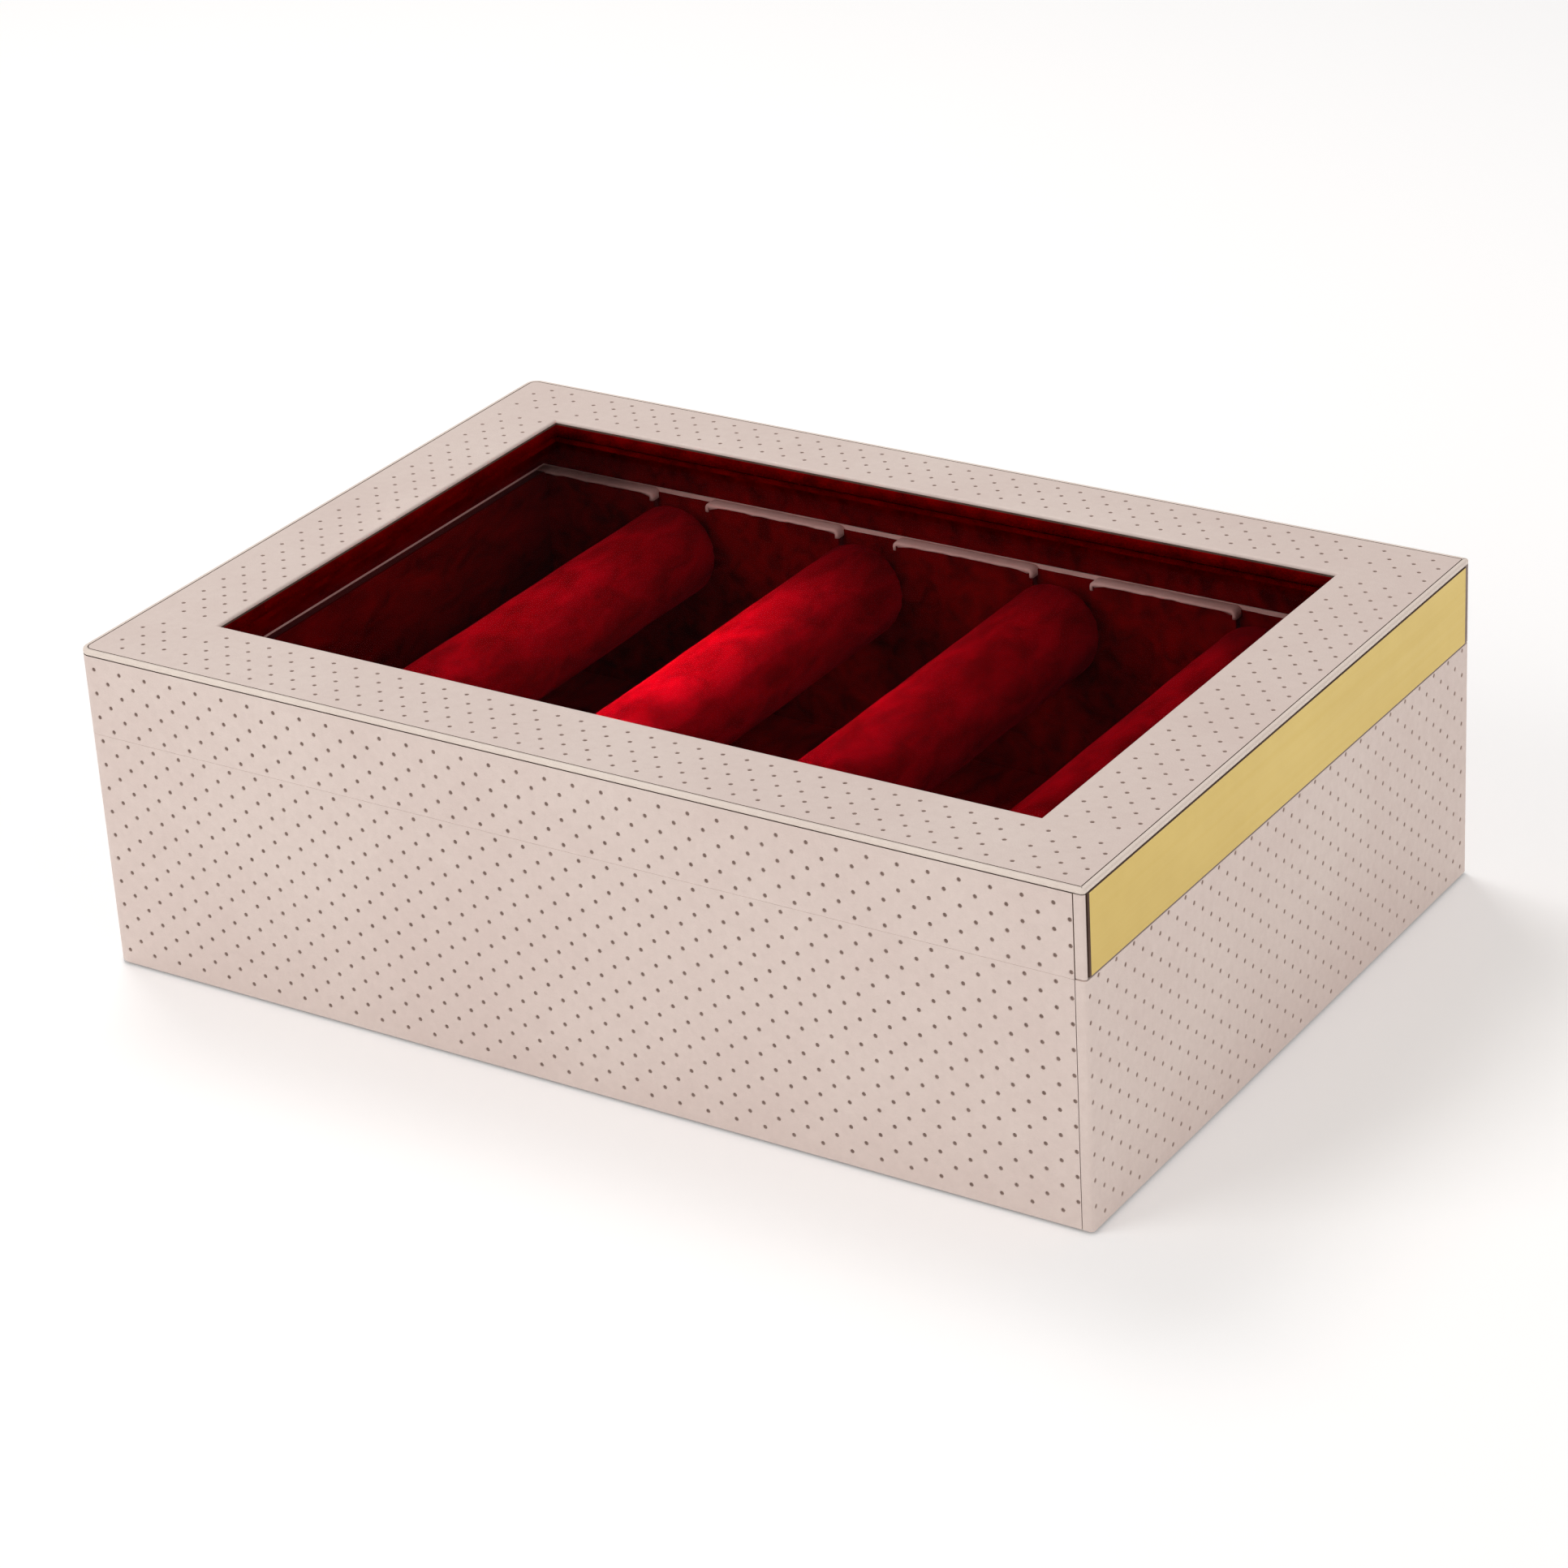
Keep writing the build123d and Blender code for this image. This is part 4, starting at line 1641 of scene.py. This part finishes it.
@dataclass
class Lid:
    """Boards, covers, window, plate and lining of the lid.

    Args:
        joint_gap: Gap between the lid's cover and the base's.
        lining_low: Level of the velvet strip's lower edge.
        velvet: Thickness of the strip.
        facing: Thickness of the velvet inside the window.
        facing_low, facing_high: Its lowest and highest level.
        window: The window in plan.
        rim, front_rim: Width of the painted shade round the plate's edge, and its width at the front.
    """

    joint_gap: float = 0.03
    lining_low: float = span("lid_velvet_lining", Z)[0]
    velvet: float = 0.8
    facing: float = 0.38
    facing_low: float = WINDOW_FOOT + 0.05
    facing_high: float = TOP - 1.3
    window: Range = window_range()
    rim: float = 0.2
    front_rim: float = 0.55

    def build(self) -> None:
        """Dresses the nodes that stay and builds the pieces that replace the others."""
        cover = CoverBand("lid", JOINT + self.joint_gap, TOP_UNDER, Fold.DOWN, RETAINER_FOOT)
        fit(cover.wrap(), "lid", "perforated_leatherette", "lid_cover_wrap")
        fit(TopCover().build(), "lid", "perforated_leatherette", "lid_top_cover")
        self.lining()
        self.window_facing()
        self.plate()
        for side in ("front", "rear", "hinge_end", "plate_end"):
            dress(f"lid_board_{side}", CASE_BOARD)
        for node, finish in (
            ("lid_cover_end", LEATHERETTE), ("lid_top_board", CASE_BOARD), ("lid_magnets", STEEL),
            ("plate_backing", BACKING), ("window_pane", PANE), ("pane_retainer", LINING),
        ):
            dress(node, finish)

    def lining(self) -> None:
        """One strip of velvet round the inside, soft at its lower edge."""
        shell = Shell()
        low, high, deep = self.lining_low, RETAINER_FOOT, self.velvet
        section = (
            (0.0, low + 0.4), (0.3, low), (deep - 0.2, low + 0.1), (deep, low + 0.5), (deep, high),
            (0.0, high),
        )
        shell.bar(frame_rows((-LINED_X, LINED_X, -LINED_Y, LINED_Y), section, 12), closed=True)
        fit(shell.build("lid_velvet_strip", LINING), "lid", "lining_velvet", "lid_velvet_lining")

    def window_facing(self) -> None:
        """Velvet facing inside the window, from just under the top's rounded edge to the pane."""
        shell = Shell()
        foot, head, deep = self.facing_low, self.facing_high, self.facing
        section = (
            (0.0, foot), (0.0, head - 0.1), (0.12, head), (0.3, head - 0.05), (deep, head - 0.25),
            (deep, foot),
        )
        shell.bar(frame_rows(self.window, section, 16), closed=True)
        fit(shell.build("lid_velvet_window", LINING), "lid", "lining_velvet")

    def plate(self) -> None:
        """Gold sheet in its pocket, with painted shade on its edges for the gap round it, widest at the
        front.
        """
        shell = Shell()
        back, face = span("end_plate", X)
        half = span("end_plate", Y)[1]
        low, high = span("end_plate", Z)
        rows = []
        for share, depth in ((1.0, 0.0), (0.0, self.rim), (0.0, face - back)):
            inset, front = self.rim * share, self.front_rim * share
            corners = (
                (-half + front, low + inset), (half - inset, low + inset), (half - inset, high - inset),
                (-half + front, high - inset),
            )
            rows.append([Vector((face - depth, y, z)) for y, z in corners])
        shell.face(rows[0])
        # The rim and the sides take the painted shade (material 1).
        for first, second in zip(rows, rows[1:]):
            shell.bridge(first, second, closed=True, material=1, smooth=False)
        shell.face(rows[-1], 1)
        fit(shell.build("lid_gold_plate", GOLD, PAINTED_SHADE), "lid", "gold_plate", "end_plate")


@dataclass
class Hinges:
    """Brass leaves, pins and screws."""

    def build(self) -> None:
        """Dresses the hinge nodes."""
        for node in ("leaves_base", "leaves_lid", "pins", "screws_base", "screws_lid"):
            dress(f"hinge_{node}", BRASS)


# Stage


@dataclass(frozen=True)
class Lamp:
    """A square soft light.

    Args:
        name: The light's name.
        place: Where it stands, in metres.
        size: Its side, in metres.
        power: Its power in watts.
        colour: Its colour.
        at: The place it is aimed at, in metres.
        spread: Angle of its beam in degrees.
    """

    name: str
    place: Triple
    size: float
    power: float
    colour: Colour
    at: Triple = (0.0, 0.0, 0.05)
    spread: float = 180.0

    def build(self) -> None:
        """Sets up the light."""
        data = bpy.data.lights.new(self.name, "AREA")
        data.shape = "SQUARE"
        data.size = self.size
        data.energy = self.power
        data.color = self.colour
        data.spread = math.radians(self.spread)
        lamp = bpy.data.objects.new(self.name, data)
        lamp.location = self.place
        aim = Vector(self.at) - Vector(self.place)
        lamp.rotation_euler = aim.to_track_quat("-Z", "Y").to_euler()
        bpy.context.scene.collection.objects.link(lamp)


LAMPS = (
    Lamp("key", (-0.6, 0.42, 1.3), 0.6, 6.5, (1.0, 0.98, 0.97)),
    Lamp("front_fill", (-0.9, -1.3, 1.0), 1.0, 10.0, (1.0, 0.98, 0.97)),
    Lamp("end_fill", (1.6, -0.5, 0.9), 1.0, 7.0, (1.0, 0.96, 0.95)),
    Lamp("accent", (-0.42, 0.12, 0.72), 0.05, 0.066, (1.0, 1.0, 1.0), (-0.028, 0.0, 0.06), 8.0),
)


@dataclass
class Studio:
    """Pale floor, soft light and the camera.

    Args:
        target: The point that the camera turns about, in millimetres.
        azimuth, elevation, roll: The camera's angles in degrees.
        distance: Its distance from the target, in millimetres.
        lens: Its focal length, in millimetres.
        sky: Colour of the surroundings.
        sky_strength: Their strength.
    """

    target: Triple = (0.082, -0.657, 39.199)
    azimuth: float = 33.9196
    elevation: float = 26.5405
    roll: float = -3.4402
    distance: float = 1223.178
    lens: float = 109.25
    sky: Colour = (1.0, 0.985, 0.975)
    sky_strength: float = 0.48

    def camera(self) -> None:
        """Places the camera by its angles about the target."""
        az, el, roll = (math.radians(a) for a in (self.azimuth, self.elevation, self.roll))
        back = Vector((math.sin(az) * math.cos(el), -math.cos(az) * math.cos(el), math.sin(el)))
        right = Vector((math.cos(az), math.sin(az), 0.0))
        up = back.cross(right)
        side = right * math.cos(roll) + up * math.sin(roll)
        top = up * math.cos(roll) - right * math.sin(roll)
        data = bpy.data.cameras.new("camera")
        data.lens = self.lens
        data.sensor_width = 36.0
        data.clip_start = 0.05
        camera = bpy.data.objects.new("camera", data)
        camera.matrix_world = Matrix((side, top, back)).transposed().to_4x4()
        camera.matrix_world.translation = (Vector(self.target) + back * self.distance) * MM
        bpy.context.scene.collection.objects.link(camera)
        bpy.context.scene.camera = camera

    def floor(self) -> None:
        """A wide pale floor, level with the underside."""
        shell = Shell()
        angles = turns(48, 2 * math.pi)[:-1]
        rows = [
            [Vector((r * math.cos(a), r * math.sin(a), 0.0)) for a in angles]
            for r in (400.0, 1200.0, 3000.0, 9000.0)
        ]
        shell.face(rows[0])
        shell.skin(rows, closed=True)
        shell.build("studio_floor", PAPER)

    def world(self) -> None:
        """Even white surroundings."""
        world = bpy.data.worlds.new("studio")
        world.use_nodes = True
        sky = world.node_tree.nodes["Background"]
        sky.inputs["Color"].default_value = full(self.sky)
        sky.inputs["Strength"].default_value = self.sky_strength
        bpy.context.scene.world = world

    def build(self) -> None:
        """Sets up everything round the box."""
        self.camera()
        self.floor()
        self.world()
        for lamp in LAMPS:
            lamp.build()
        view = bpy.context.scene.view_settings
        view.view_transform = "Standard"
        view.look = "None"


def main() -> None:
    """Builds the box and its surroundings in order."""
    logging.basicConfig(level=logging.INFO, format="%(name)s: %(message)s")
    Studio().build()
    BaseCase().build()
    BaseLining().build()
    for number, x in zip(ROLLS, ROLL_X):
        VelvetRoll(number, x).build()
    Lid().build()
    Hinges().build()


if __name__ == "__main__":
    main()
